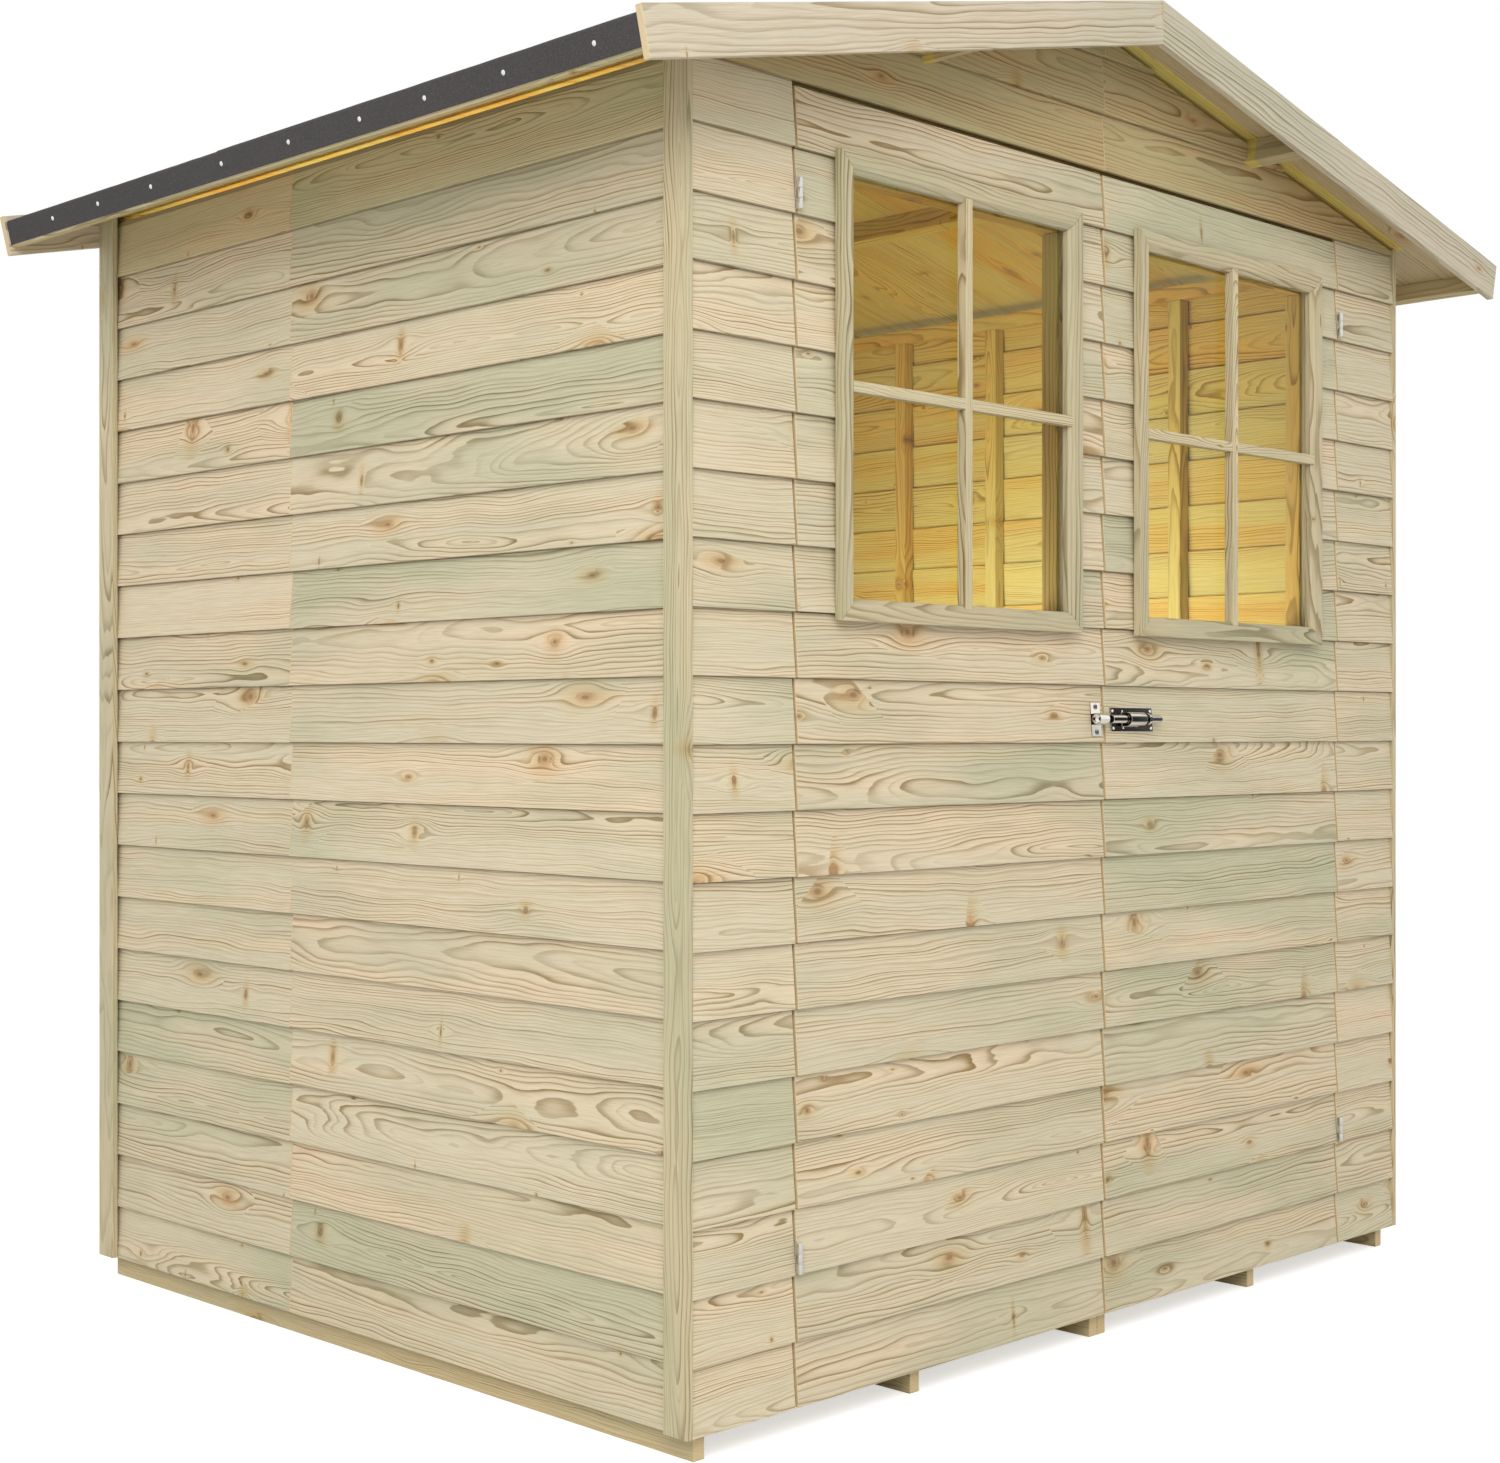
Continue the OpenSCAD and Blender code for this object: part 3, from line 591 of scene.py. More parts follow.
def ease(shape, arris, segments=1):
    """Bevels every sharp arris. Gives back the numbers of the new narrow faces, which the metals paint bright
    as wear and painted highlight.
    """
    sharp = [e for e in shape.edges if len(e.link_faces) == 2 and e.calc_face_angle(0) > SHARP]
    made = bmesh.ops.bevel(shape, geom=sharp, offset=arris, segments=segments, profile=BEVEL_SHAPE,
                           affect="EDGES", clamp_overlap=True)
    shape.faces.index_update()
    return {f.index for f in made["faces"]}


print("a box has", len(BOX_FACES), "faces before its arrises are eased")

# %% Grain and kind of every face
# The honey colour, painted light leaking from the room, reaches this far past the walls onto the roof boards
# and purlins.
LIGHT_STRIP = 0.014
# Faces of roof boards and purlins outside the room and its strip take this share of the dark paint.
OUTSIDE_DARKER = 0.24
END_TURN = 0.7
BACK_TURN = -0.3


def in_room(point):
    """True inside the walls, and for the strip beside them that takes the honey colour as painted light
    leaking from the room.
    """
    clear_x = abs(point.x) < LIP_X + LIGHT_STRIP
    return clear_x and LIP_FRONT - LIGHT_STRIP < point.y < LIP_BACK + LIGHT_STRIP


def grained(shape, origin, along, across, out, draw, marks=None):
    """Turns a solid into arrays with its grain, heart, tone and kind of face. marks holds, by face
    number, the share of the last paint: painted shade on pine, wear and painted highlight on metal."""
    marks = marks or {}
    shape.verts.index_update()
    shape.faces.index_update()
    points = np.array([v.co for v in shape.verts])
    axes = np.array([along, across, out])
    place = (points - np.array(origin)) @ axes.T + np.array([draw["start"], 0.0, 0.0])
    faces = [[v.index for v in f.verts] for f in shape.faces]
    kinds = []
    for face in shape.faces:
        end = abs(face.normal.dot(along)) > END_TURN
        inner = draw["indoor"] == "all"
        marked = marks.get(face.index, 0.0)
        if draw["indoor"] == "back":
            inner = face.normal.dot(out) < BACK_TURN
        if draw["indoor"] == "room":
            inner = in_room(face.calc_center_median())
            marked = 0.0 if inner else OUTSIDE_DARKER
        kinds.append((float(end), float(inner), marked))
    shape.free()
    return {"points": points, "faces": faces, "grain": place, "kinds": kinds, **draw}


print(f"indoor colour reaches {LIGHT_STRIP * 1000:.0f} mm past the walls")

# %% The chances of one board
FLAT_SAWN = 0.6
HEART_WITHIN = (0.1, 0.9)
HEART_BEYOND = (0.8, 1.6)
HEART_DEPTH = 0.03
HEART_DRIFT = (0.01, 0.05)
LOG_LENGTH = 60
TREATED = (0.0, 0.05, 0.15, 0.25, 0.4, 0.6)
PINKNESS = (-0.1, 0.8)
SHADES = 0.05


def draw_board(dice, width, indoor="none"):
    """Where a board was in the log, its own tone, and which of its faces are indoors."""
    if dice.random() < FLAT_SAWN:
        heart_across = dice.uniform(*HEART_WITHIN) * width
    else:
        heart_across = dice.choice(SIDES) * dice.uniform(*HEART_BEYOND) * width
    return {
        "start": dice.uniform(0, LOG_LENGTH),
        "heart": (heart_across, dice.uniform(-HEART_DEPTH, HEART_DEPTH),
                  dice.choice(SIDES) * dice.uniform(*HEART_DRIFT)),
        "tone": (dice.choice(TREATED), dice.uniform(*PINKNESS), dice.uniform(-SHADES, SHADES)),
        "indoor": indoor,
    }


print(f"{FLAT_SAWN:.0%} of the boards are flat sawn")

# %% [markdown]
# ## Laying up
# Hundreds of separate objects would slow the scene, so the boards of one wall are joined into one
# mesh as arrays. The grain numbers ride along as mesh attributes, which the shaders read by name.

# %% Join boards into one piece
ROUND_EDGE = math.radians(35)


def lay_up(name, boards, finish, body, *nodes, smooth=False):
    """Joins boards into one piece that rides a body, in place of the CAD nodes named."""
    points, grain, hearts, tones, faces, kinds = [], [], [], [], [], []
    first = 0
    for board in boards:
        count = len(board["points"])
        aside, deep, drift = board["heart"]
        points.append(board["points"])
        grain.append(board["grain"])
        hearts.append(np.tile((aside, deep - drift * board["start"], drift), (count, 1)))
        tones.append(np.tile(board["tone"], (count, 1)))
        faces += [[i + first for i in face] for face in board["faces"]]
        kinds += board["kinds"]
        first += count
    mesh = bpy.data.meshes.new(name)
    mesh.from_pydata(np.concatenate(points).tolist(), [], faces)
    for label, rows, domain in (("grain", grain, "POINT"), ("heart", hearts, "POINT"),
                                ("tone", tones, "POINT"), ("kind", [kinds], "FACE")):
        layer = mesh.attributes.new(label, "FLOAT_VECTOR", domain)
        layer.data.foreach_set("vector", np.concatenate(rows).astype(np.float32).ravel())
    if smooth:
        mesh.shade_smooth()
        mesh.set_sharp_from_angle(angle=ROUND_EDGE)
    mesh.materials.append(finish)
    piece = bpy.data.objects.new(name, mesh)
    scene.collection.objects.link(piece)
    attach(piece, body)
    if nodes:
        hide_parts(*nodes)
    print(f"{name}: {len(boards)} boards, {len(faces)} faces")


# %% [markdown]
# ## Overlap cladding
# Each board leans out over the one below, so its foot stands proud and throws the thin shadow line
# that makes this wall. Foot and top are cut level. A narrow strip under each foot and the foot's own
# underside are painted dark as painted shade, which sharpens the line. The section is the same on
# every wall, so one function saws a board between two places along any wall, with a little
# hand-made unevenness.

# %% Saw one overlap board
ARRIS = 0.0007
UNEVEN = 0.0005
SET_BACK = (0.0001, 0.0005)
TOP_GAP = 0.0004
# Painted shade: a strip of this height under each board's foot, and the foot's own underside, take the dark
# paint.
SHADE_STRIP_HEIGHT = 0.0015
UNDER_FOOT_SHADE = 0.6
FOOT_UNDERSIDE_SHADE = 0.45
FACING_OUT = 0.5
FACING_DOWN = -0.7


def lap_board(dice, origin, along, out, start, end, course, top=None, cuts=()):
    """One leaning board. origin is on the face of the frame at the foot of the wall."""
    low = course * COVER + dice.uniform(-UNEVEN, UNEVEN)
    high = (course + 1) * COVER + LAP - TOP_GAP
    if top is not None:
        high = min(high, top)
    foot = CLAD - dice.uniform(*SET_BACK)
    head = foot - LEAN * (high - low)
    section = ((foot, low), (head, high), (head - BOARD_T, high), (foot - BOARD_T, low))
    corners = []
    for place in (start, end):
        for depth_out, height in section:
            corners.append(origin + along * place + out * depth_out + UP * height)
    shape = solid(corners)
    for point, outward in cuts:
        cut(shape, point, outward)
    ease(shape, ARRIS)
    face_up = (UP - out * LEAN).normalized()
    face_out = (out + UP * LEAN).normalized()
    # Painted shade under the foot of the board above, and on this board's underside.
    line = origin + UP * ((course + 1) * COVER - SHADE_STRIP_HEIGHT)
    scored(shape, (line, UP))
    marks = {}
    for face in shape.faces:
        if face.calc_center_median().z > line.z and face.normal.dot(out) > FACING_OUT:
            marks[face.index] = UNDER_FOOT_SHADE
        if face.normal.z < FACING_DOWN:
            marks[face.index] = FOOT_UNDERSIDE_SHADE
    return grained(shape, corners[0], along, face_up, face_out, draw_board(dice, COVER, "back"), marks)


def with_warm_light(board, share):
    """Mixes part of the honey colour into a board: painted warm bounce light where a roof shades it."""
    board["kinds"] = [(end, max(inner, share), mark) for end, inner, mark in board["kinds"]]
    return board


print(f"a board is {BOARD_T * 1000:.1f} mm thick and {(COVER + LAP) * 1000:.0f} mm high")

# %% Side walls
BUTT = 0.0003
SEAM_IN = 0.923
WALL_SEAM = LIP_FRONT + SEAM_IN
# Painted warm bounce light: the top course under the eave takes part of the honey colour.
EAVE_WARM_LIGHT = 0.3
TOP_OF_SIDE = left_high.z - FOOT
for side, name, seed in ((-1, "left_wall", 11), (1, "right_wall", 12)):
    dice = np.random.default_rng(seed)
    origin = Vector((side * FRAME_X, 0, FOOT))
    boards = []
    for course in range(COURSES):
        warm_light = EAVE_WARM_LIGHT if course == COURSES - 1 else 0.0
        for start, end in ((FRAME_FRONT, WALL_SEAM - BUTT), (WALL_SEAM + BUTT, FRAME_BACK)):
            board = lap_board(dice, origin, BACK, RIGHT * side, start, end, course, TOP_OF_SIDE)
            boards.append(with_warm_light(board, warm_light))
    lay_up(name + "_cladding", boards, clad_pine, "shell", name + "_boards")

# %% [markdown]
# ## Gables and front
# The gables need the roof's slope cut off each board's top corners. The slope is one plane a side,
# so a plane cut does it, and the cut is closed as a saw would leave it. Under the barge boards the
# front gable is painted darker and warmer than the wall below, as painted shade and painted warm
# bounce light.

# %% Gable boards
SLOPES = [Vector((side * math.sin(PITCH), 0, math.cos(PITCH))) for side in (1, -1)]
GABLE_TOP = gable_high.z - TOP_GAP
SLOPE_CUTS = [(Vector((0, 0, GABLE_TOP)), normal) for normal in SLOPES]
CORNER_OFF = 0.012
SHORTEST = 0.02
GABLE_COURSES = math.ceil((RIDGE - FOOT) / COVER)
GABLE_GREEN = 0.5
GABLE_PINK = 0.6
# Painted shade and painted warm bounce light: the front gable under the barge boards is darkened by
# GABLE_SHADE and takes part of the honey colour.
GABLE_SHADE = -0.52
GABLE_WARM_LIGHT = 0.45


def gable_boards(seed, face_y, out, courses):
    """Boards of a gable wall, in two halves, with their corners sawn to the roof."""
    dice = np.random.default_rng(seed)
    boards = []
    for course in courses:
        half = (GABLE_TOP - FOOT - course * COVER) / math.tan(PITCH) - CORNER_OFF
        for start, end in ((max(-LIP_X, -half), -BUTT), (BUTT, min(LIP_X, half))):
            if end - start >= SHORTEST:
                origin = Vector((0, face_y, FOOT))
                boards.append(lap_board(dice, origin, RIGHT, out, start, end, course, None, SLOPE_CUTS))
    return boards


boards = gable_boards(13, FRAME_FRONT, -BACK, range(COURSES, GABLE_COURSES))
# Painted shade and painted warm bounce light on every front gable board.
for board in boards:
    board["tone"] = (GABLE_GREEN * board["tone"][0], GABLE_PINK, GABLE_SHADE)
    with_warm_light(board, GABLE_WARM_LIGHT)
lay_up("gable_cladding", boards, clad_pine, "shell", "front_gable_boards")
boards = gable_boards(14, FRAME_BACK, BACK, range(GABLE_COURSES))
lay_up("back_wall_cladding", boards, clad_pine, "shell", "back_wall_boards")

# %% Boards beside the doorway
FRONT_FOOT = Vector((0, FRAME_FRONT, FOOT))
for side, name, seed in ((-1, "front_left", 15), (1, "front_right", 16)):
    dice = np.random.default_rng(seed)
    start, end = sorted((side * panel_low.x, side * panel_high.x))
    boards = []
    for course in range(COURSES):
        boards.append(lap_board(dice, FRONT_FOOT, RIGHT, -BACK, start, end, course, None, SLOPE_CUTS))
    lay_up(name + "_cladding", boards, clad_pine, "shell", name + "_boards")

# %% [markdown]
# ## Doors
# The doors are clad in the same courses, so the shadow lines run on across them. Round the window
# the boards stop at the hole that the casing covers.

# %% Door boards
WINDOW_FIRST = 12
WINDOW_LAST = 19
CASING_COVER = 0.010
SILL_GAP = 0.0006
DOOR_TOP = door_high.z - FOOT
for side, name, seed in ((-1, "left_door", 17), (1, "right_door", 18)):
    dice = np.random.default_rng(seed)
    outer = sorted((side * door_low.x, side * door_high.x))
    hole = sorted((side * (casing_low.x + CASING_COVER), side * (casing_high.x - CASING_COVER)))
    boards = []
    for course in range(COURSES):
        spans = [outer]
        if WINDOW_FIRST <= course < WINDOW_LAST:
            spans = [(outer[0], hole[0]), (hole[1], outer[1])]
        top = DOOR_TOP
        if course in (WINDOW_FIRST - 1, WINDOW_LAST - 1):
            top = (course + 1) * COVER - SILL_GAP
        for start, end in spans:
            boards.append(lap_board(dice, FRONT_FOOT, RIGHT, -BACK, start, end, course, top))
    lay_up(name + "_cladding", boards, clad_pine, name, name + "_boards")

# %% [markdown]
# ## Timbers that keep their CAD shape
# Studs, rails, joists, purlins, battens, barge boards, corner strips and window casings already
# have the right shape in the frame. They only need eased arrises and grain. Each loose solid of a
# node is taken out, its longest direction found, and the same steps as for a board follow.
# The corner strips are the exception: their solids are thinned at the foot, and real strips run
# straight down, so the foot is drawn out again first.

# %% The solids of a node
ARRIS_SAWN = 0.0012
SAME_POINT = 1e-6
SAME_PLANE = math.radians(1)


def loose_solids(node):
    """The separate solids of a CAD node, each as a clean shape with flat faces."""
    whole = bmesh.new()
    whole.from_mesh(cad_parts[node].data)
    bmesh.ops.remove_doubles(whole, verts=whole.verts[:], dist=SAME_POINT)
    bmesh.ops.dissolve_limit(whole, angle_limit=SAME_PLANE, verts=whole.verts[:], edges=whole.edges[:])
    waiting = set(whole.verts)
    found = []
    while waiting:
        group = {waiting.pop()}
        edge_of_group = list(group)
        while edge_of_group:
            vert = edge_of_group.pop()
            for link in vert.link_edges:
                other = link.other_vert(vert)
                if other in waiting:
                    waiting.discard(other)
                    group.add(other)
                    edge_of_group.append(other)
        order = {v: i for i, v in enumerate(sorted(group, key=lambda v: v.index))}
        faces = [[order[v] for v in f.verts] for f in whole.faces if f.verts[0] in order]
        found.append(([v.co.copy() for v in order], faces))
    whole.free()
    return sorted(found, key=lambda s: tuple(round(x, 4) for x in np.mean(s[0], axis=0)))


def timber_axes(points):
    """Longest, middle and shortest direction of a timber."""
    centred = np.array(points) - np.mean(points, axis=0)
    axes = np.linalg.svd(centred, full_matrices=False)[2]
    return [Vector(a * (1 if a[np.argmax(np.abs(a))] > 0 else -1)) for a in axes]


def straight_foot(points):
    """Carries the outer face of a corner strip straight down to its foot."""
    reaches = [abs(p.x) for p in points]
    foot = min(p.z for p in points)
    for p in points:
        if p.z < foot + ARRIS_SAWN and abs(p.x) > min(reaches) + ARRIS_SAWN:
            p.x = math.copysign(max(reaches), p.x)


print("floor joists:", len(loose_solids("floor_joists")))

# %% Ease the solids of a node
EASE_STEPS = 2
FRONT_TURN = -0.6
NARROWEST = 0.03
GABLE_LINES = [(Vector((0, y, 0)), BACK) for y in (LIP_FRONT - LIGHT_STRIP, LIP_BACK + LIGHT_STRIP)]


def eased_timbers(node, seed, arris, indoor="none", outer="worn"):
    """The solids of a node as boards. outer says which faces are marked: arrises with the bright paint
    of wear and painted highlight, with or without the front, front faces with painted shade, or none."""
    dice = np.random.default_rng(seed)
    boards = []
    for points, faces in loose_solids(node):
        if node == "corner_strips":
            straight_foot(points)
        shape = solid(points, faces)
        worn = ease(shape, arris, EASE_STEPS)
        if indoor == "room":
            scored(shape, *GABLE_LINES)
        front = {f.index for f in shape.faces if f.normal.y < FRONT_TURN}
        marked = {"worn": worn, "front": worn | front, "damp": front, "plain": ()}[outer]
        along, across, out = timber_axes(points)
        width = max((p - points[0]).dot(across) for p in points)
        draw = draw_board(dice, max(width, NARROWEST), indoor)
        boards.append(grained(shape, points[0], along, across, out, draw, dict.fromkeys(marked, 1.0)))
    return boards


print("arrises eased in", EASE_STEPS, "steps")

# %% Studs, rails, strips, casings and barge boards
ARRIS_PLANED = 0.0009
CASING_SHADE = -0.16
BAR_WIDEST = 0.030
BAR_SHADE = 0.14
timbers = (
    ("floor_joists", "joists", frame_pine, "shell", "none"),
    ("left_wall_frame", "left_studwork", frame_pine, "shell", "all"),
    ("right_wall_frame", "right_studwork", frame_pine, "shell", "all"),
    ("back_wall_frame", "back_studwork", frame_pine, "shell", "all"),
    ("front_frame", "front_studwork", frame_pine, "shell", "all"),
    ("purlins", "purlin_pair", frame_pine, "shell", "room"),
    ("eave_battens", "eave_batten_pair", frame_pine, "shell", "none"),
    ("corner_strips", "corner_strip_set", planed_pine, "shell", "none"),
    ("left_door_frame", "left_door_studwork", frame_pine, "left_door", "all"),
    ("right_door_frame", "right_door_studwork", frame_pine, "right_door", "all"),
    ("left_window_frame", "left_window_casing", planed_pine, "left_door", "none"),
    ("right_window_frame", "right_window_casing", planed_pine, "right_door", "none"),
)
for seed, (node, name, finish, body, indoor) in enumerate(timbers, 31):
    arris = ARRIS_PLANED if finish is planed_pine else ARRIS_SAWN
    # Painted shade: the front frame's outward faces, seen through the gap over the doors, take the dark
    # paint.
    outer = "damp" if node == "front_frame" else "plain"
    boards = eased_timbers(node, seed, arris, indoor, outer)
    if node.endswith("window_frame"):
        for board in boards:
            slim = np.sort(np.ptp(board["points"], axis=0))[1] < BAR_WIDEST
            board["tone"] = (*board["tone"][:2], BAR_SHADE if slim else CASING_SHADE)
    lay_up(name, boards, finish, body, node)
for seed, corner in enumerate(("front_left", "front_right", "back_left", "back_right"), 51):
    node = corner + "_barge_board"
    lay_up(corner + "_barge", eased_timbers(node, seed, ARRIS_SAWN, outer="plain"), barge_pine, "shell", node)

# %% [markdown]
# ## Roof boards and floor boards
# Both are plain sheets in the frame. Real ones are boards: on the roof they run from ridge to eave
# over the purlins, and on the floor they cross the joists.

# %% Boards of the roof
ROOF_BOARDS = 16
OPEN_JOINT = 0.0004
LEAST_BOARD = 0.002
ROOF_ARRIS = 0.0014
EAVE_LINES = [(Vector((x, 0, 0)), RIGHT) for x in (LIP_X + LIGHT_STRIP, -LIP_X - LIGHT_STRIP)]
PLUMB = -math.tan(PITCH) * DECK_T
ROOF_SECTION = ((0, 0), (DECK_END, 0), (DECK_END, DECK_T), (PLUMB, DECK_T))
wide = (LIP_BACK - LIP_FRONT + 2 * LIGHT_STRIP) / (ROOF_BOARDS - 1)
lines = [deck_low.y, *(LIP_FRONT - LIGHT_STRIP + k * wide for k in range(ROOF_BOARDS))]
if deck_high.y - lines[-1] > LEAST_BOARD:
    lines.append(deck_high.y)
for side, name, seed in ((-1, "left", 61), (1, "right", 62)):
    dice = np.random.default_rng(seed)
    boards = []
    for y0, y1 in zip(lines, lines[1:]):
        y0 += OPEN_JOINT
        y1 = min(y1, deck_high.y) - OPEN_JOINT
        corners = [roof_at(down, up, y, side) for y in (y0, y1) for down, up in ROOF_SECTION]
        shape = solid(corners)
        ease(shape, ROOF_ARRIS)
        scored(shape, *EAVE_LINES)
        along = (corners[1] - corners[0]).normalized()
        out = (corners[2] - corners[1]).normalized()
        boards.append(grained(shape, corners[0], along, BACK, out, draw_board(dice, wide, "room")))
    lay_up(name + "_roof_decking", boards, frame_pine, "shell", name + "_roof_boards")

# %% Boards of the floor
FLOOR_BOARDS = 16
FLOOR_SPLIT = 0.0005
FLOOR_ARRIS = 0.001
floor_low, floor_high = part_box("floor_boards")
dice = np.random.default_rng(63)
wide = (floor_high.y - floor_low.y) / FLOOR_BOARDS
boards = []
for x0, x1 in ((floor_low.x, -FLOOR_SPLIT), (FLOOR_SPLIT, floor_high.x)):
    for k in range(FLOOR_BOARDS):
        y0 = floor_low.y + k * wide + OPEN_JOINT
        y1 = floor_low.y + (k + 1) * wide - OPEN_JOINT
        section = ((y0, floor_low.z), (y1, floor_low.z), (y1, floor_high.z), (y0, floor_high.z))
        corners = [Vector((x, y, z)) for x in (x0, x1) for y, z in section]
        shape = solid(corners)
        ease(shape, FLOOR_ARRIS)
        boards.append(grained(shape, corners[0], RIGHT, BACK, UP, draw_board(dice, wide, "all")))
lay_up("floor_decking", boards, frame_pine, "shell", "floor_boards")

# %% [markdown]
# ## Felt
# The felt comes off a metre-wide roll, so two strips cross the roof from eave to eave and the front
# one laps over the back one. Each is a thin sheet: a section down one slope and up the other, with
# a soft fold over both eaves, carried along the roof with a little unevenness.

# %% Section of the felt
FELT_T = 0.0025
FELT_DROP = 0.042
HAIRLINE = 0.0002
FELT_BASE = DECK_T + HAIRLINE
FELT_END = DECK_END + FELT_T + HAIRLINE
FOLD_R = 0.006
FOLD_STEPS = 6
SLOPE_STEPS = 14
DROP_STEPS = 3


def felt_section(thick):
    """Outer and inner line of the felt from the ridge to the foot of the fold: down the slope, and up."""
    outer_up = FELT_BASE + thick
    end = FELT_END - FELT_T + thick
    line = [(end - FOLD_R) * k / SLOPE_STEPS for k in range(SLOPE_STEPS + 1)]
    outer = [(down, outer_up) for down in line]
    inner = [(down, FELT_BASE) for down in line]
    for k in range(1, FOLD_STEPS + 1):
        turn = math.radians(90) * k / FOLD_STEPS
        for edge, radius in ((outer, FOLD_R), (inner, FOLD_R - thick)):
            edge.append((end - FOLD_R + radius * math.sin(turn), outer_up - FOLD_R + radius * math.cos(turn)))
    drop = FELT_BASE + FELT_T - FELT_DROP - outer_up + FOLD_R
    for k in range(1, DROP_STEPS + 1):
        up = outer_up - FOLD_R + drop * k / DROP_STEPS
        outer.append((end, up))
        inner.append((end - thick, up))
    return outer, inner


print(f"felt {2 * (FELT_END + FELT_DROP):.2f} m long over both slopes")

# %% Felt strips
LAP_Y = 0.14
LAP_STEP = 0.001
RUFFLE = 0.0003
RIDGE_SOFT = 0.0008
FELT_IN = 0.0005


def felt_strip(dice, y0, y1, thick, rows):
    """One strip of felt, as rings of points along the roof, with faces between them."""
    outer, inner = felt_section(thick)
    width = len(outer)
    points = []
    for k in range(rows + 1):
        y = y0 + (y1 - y0) * k / rows
        for section in (outer, inner):
            for side in SIDES:
                order = range(width - 1, 0, -1) if side == -1 else range(0, width)
                for i in order:
                    point = roof_at(*section[i], y, side)
                    if i == 0:
                        point = Vector((0, y, RIDGE + section[i][1] / math.cos(PITCH) - RIDGE_SOFT))
                    if section is outer and 0 < i < width - 1:
                        point.z += dice.uniform(-RUFFLE, RUFFLE)
                    points.append(point)
    count = 2 * width - 1
    faces = []
    for k in range(rows):
        for i in range(count - 1):
            a = k * 2 * count + i
            b = a + 2 * count
            faces.append((a, a + 1, b + 1, b))
            faces.append((a + count + 1, a + count, b + count, b + count + 1))
        for i in (0, count - 1):
            a = k * 2 * count + i
            b = a + 2 * count
            faces.append((a, b, b + count, a + count) if i == 0 else (a + count, b + count, b, a))
    for k in (0, rows):
        for i in range(count - 1):
            a = k * 2 * count + i
            quad = (a, a + count, a + count + 1, a + 1)
            faces.append(quad if k == 0 else quad[::-1])
    return grained(solid(points, faces), points[0], BACK, RIGHT, UP, draw_board(dice, 1.0))


dice = np.random.default_rng(71)
strips = [felt_strip(dice, deck_low.y + FELT_IN, LAP_Y, FELT_T, rows=24),
          felt_strip(dice, LAP_Y, deck_high.y - FELT_IN, FELT_T - LAP_STEP, rows=18)]
lay_up("felt_strips", strips, felt, "shell", "left_roof_felt", "right_roof_felt", smooth=True)

# %% [markdown]
# ## Clouts and screws
# Clouts are galvanised nails with broad heads. The keep's screws have slotted domes. Both are small
# turned shapes, set in a row and joined, each with its axis square to what it holds down.

# %% Turned heads
TURN_STEPS = 16
DOME = [(1.0, 0.0), (1.0, 0.25), (0.86, 0.62), (0.6, 0.87), (0.3, 0.97)]
DISC = [(1.0, 0.0), (1.0, 1.0)]
SLOT_SHARE = 0.14
SLOT_BED = 0.35


def turned(centre, axis, radius, height, profile=DOME):
    """A turned solid that stands on centre along axis. The profile is in shares of radius and height."""
    side = axis.orthogonal().normalized()
    other = axis.cross(side)
    points = []
    for share, up in profile:
        for k in range(TURN_STEPS):
            angle = 2 * math.pi * k / TURN_STEPS
            spot = side * math.cos(angle) * radius * share + other * math.sin(angle) * radius * share
            points.append(centre + spot + axis * height * up)
    faces = []
    for ring in range(len(profile) - 1):
        for k in range(TURN_STEPS):
            a = ring * TURN_STEPS + k
            b = ring * TURN_STEPS + (k + 1) % TURN_STEPS
            faces.append((a, b, b + TURN_STEPS, a + TURN_STEPS))
    faces.append(tuple(range(TURN_STEPS))[::-1])
    faces.append(tuple((len(profile) - 1) * TURN_STEPS + k for k in range(TURN_STEPS)))
    return solid(points, faces)


def slotted(centre, axis, radius, height, lie):
    """A domed screw: two half domes with a slot between them, over a flat bed. lie is along the slot."""
    across = axis.cross(lie).normalized()
    shapes = [turned(centre, axis, radius, height * SLOT_BED, DISC)]
    for side in SIDES:
        half = turned(centre, axis, radius, height)
        cut(half, centre + across * side * radius * SLOT_SHARE, across * -side)
        shapes.append(half)
    return shapes


def heads(name, finish, body, shapes, shine=1.0):
    """Turned heads joined into one piece. shine is the share of the bright paint: wear and painted highlight.
    """
    dice = np.random.default_rng(len(shapes))
    boards = []
    for shape in shapes:
        board = grained(shape, Vector(), RIGHT, BACK, UP, draw_board(dice, 1.0))
        board["kinds"] = [(0.0, 0.0, shine)] * len(board["faces"])
        boards.append(board)
    lay_up(name, boards, finish, body, smooth=True)


print("heads are turned in", TURN_STEPS, "steps")

# %% Clouts in the felt
EAVE_CLOUTS = (0.644, 0.497, 0.334, 0.131, -0.046, -0.220, -0.368, -0.535, -0.712)
CLOUT_R = 0.0037
CLOUT_H = 0.0018
CLOUT_BELOW = 0.021
LAP_CLOUTS = 9
LAP_EDGE = 0.03
SUNK = 0.0002
FELT_TOP = FELT_BASE + FELT_T
shapes = []
for side in SIDES:
    eave_out = Vector((side * math.cos(PITCH), 0, -math.sin(PITCH)))
    for y in EAVE_CLOUTS:
        thick = FELT_T if y < LAP_Y else FELT_T - LAP_STEP
        spot = roof_at(FELT_END - FELT_T + thick - SUNK, FELT_TOP - CLOUT_BELOW, y, side)
        shapes.append(turned(spot, eave_out, CLOUT_R, CLOUT_H))
    slope_out = Vector((side * math.sin(PITCH), 0, math.cos(PITCH)))
    for k in range(LAP_CLOUTS):
        spot = roof_at((k + 0.5) / LAP_CLOUTS * DECK_END, FELT_TOP - SUNK, LAP_Y - LAP_EDGE, side)
        shapes.append(turned(spot, slope_out, CLOUT_R, CLOUT_H))
heads("felt_clouts", zinc, "shell", shapes)

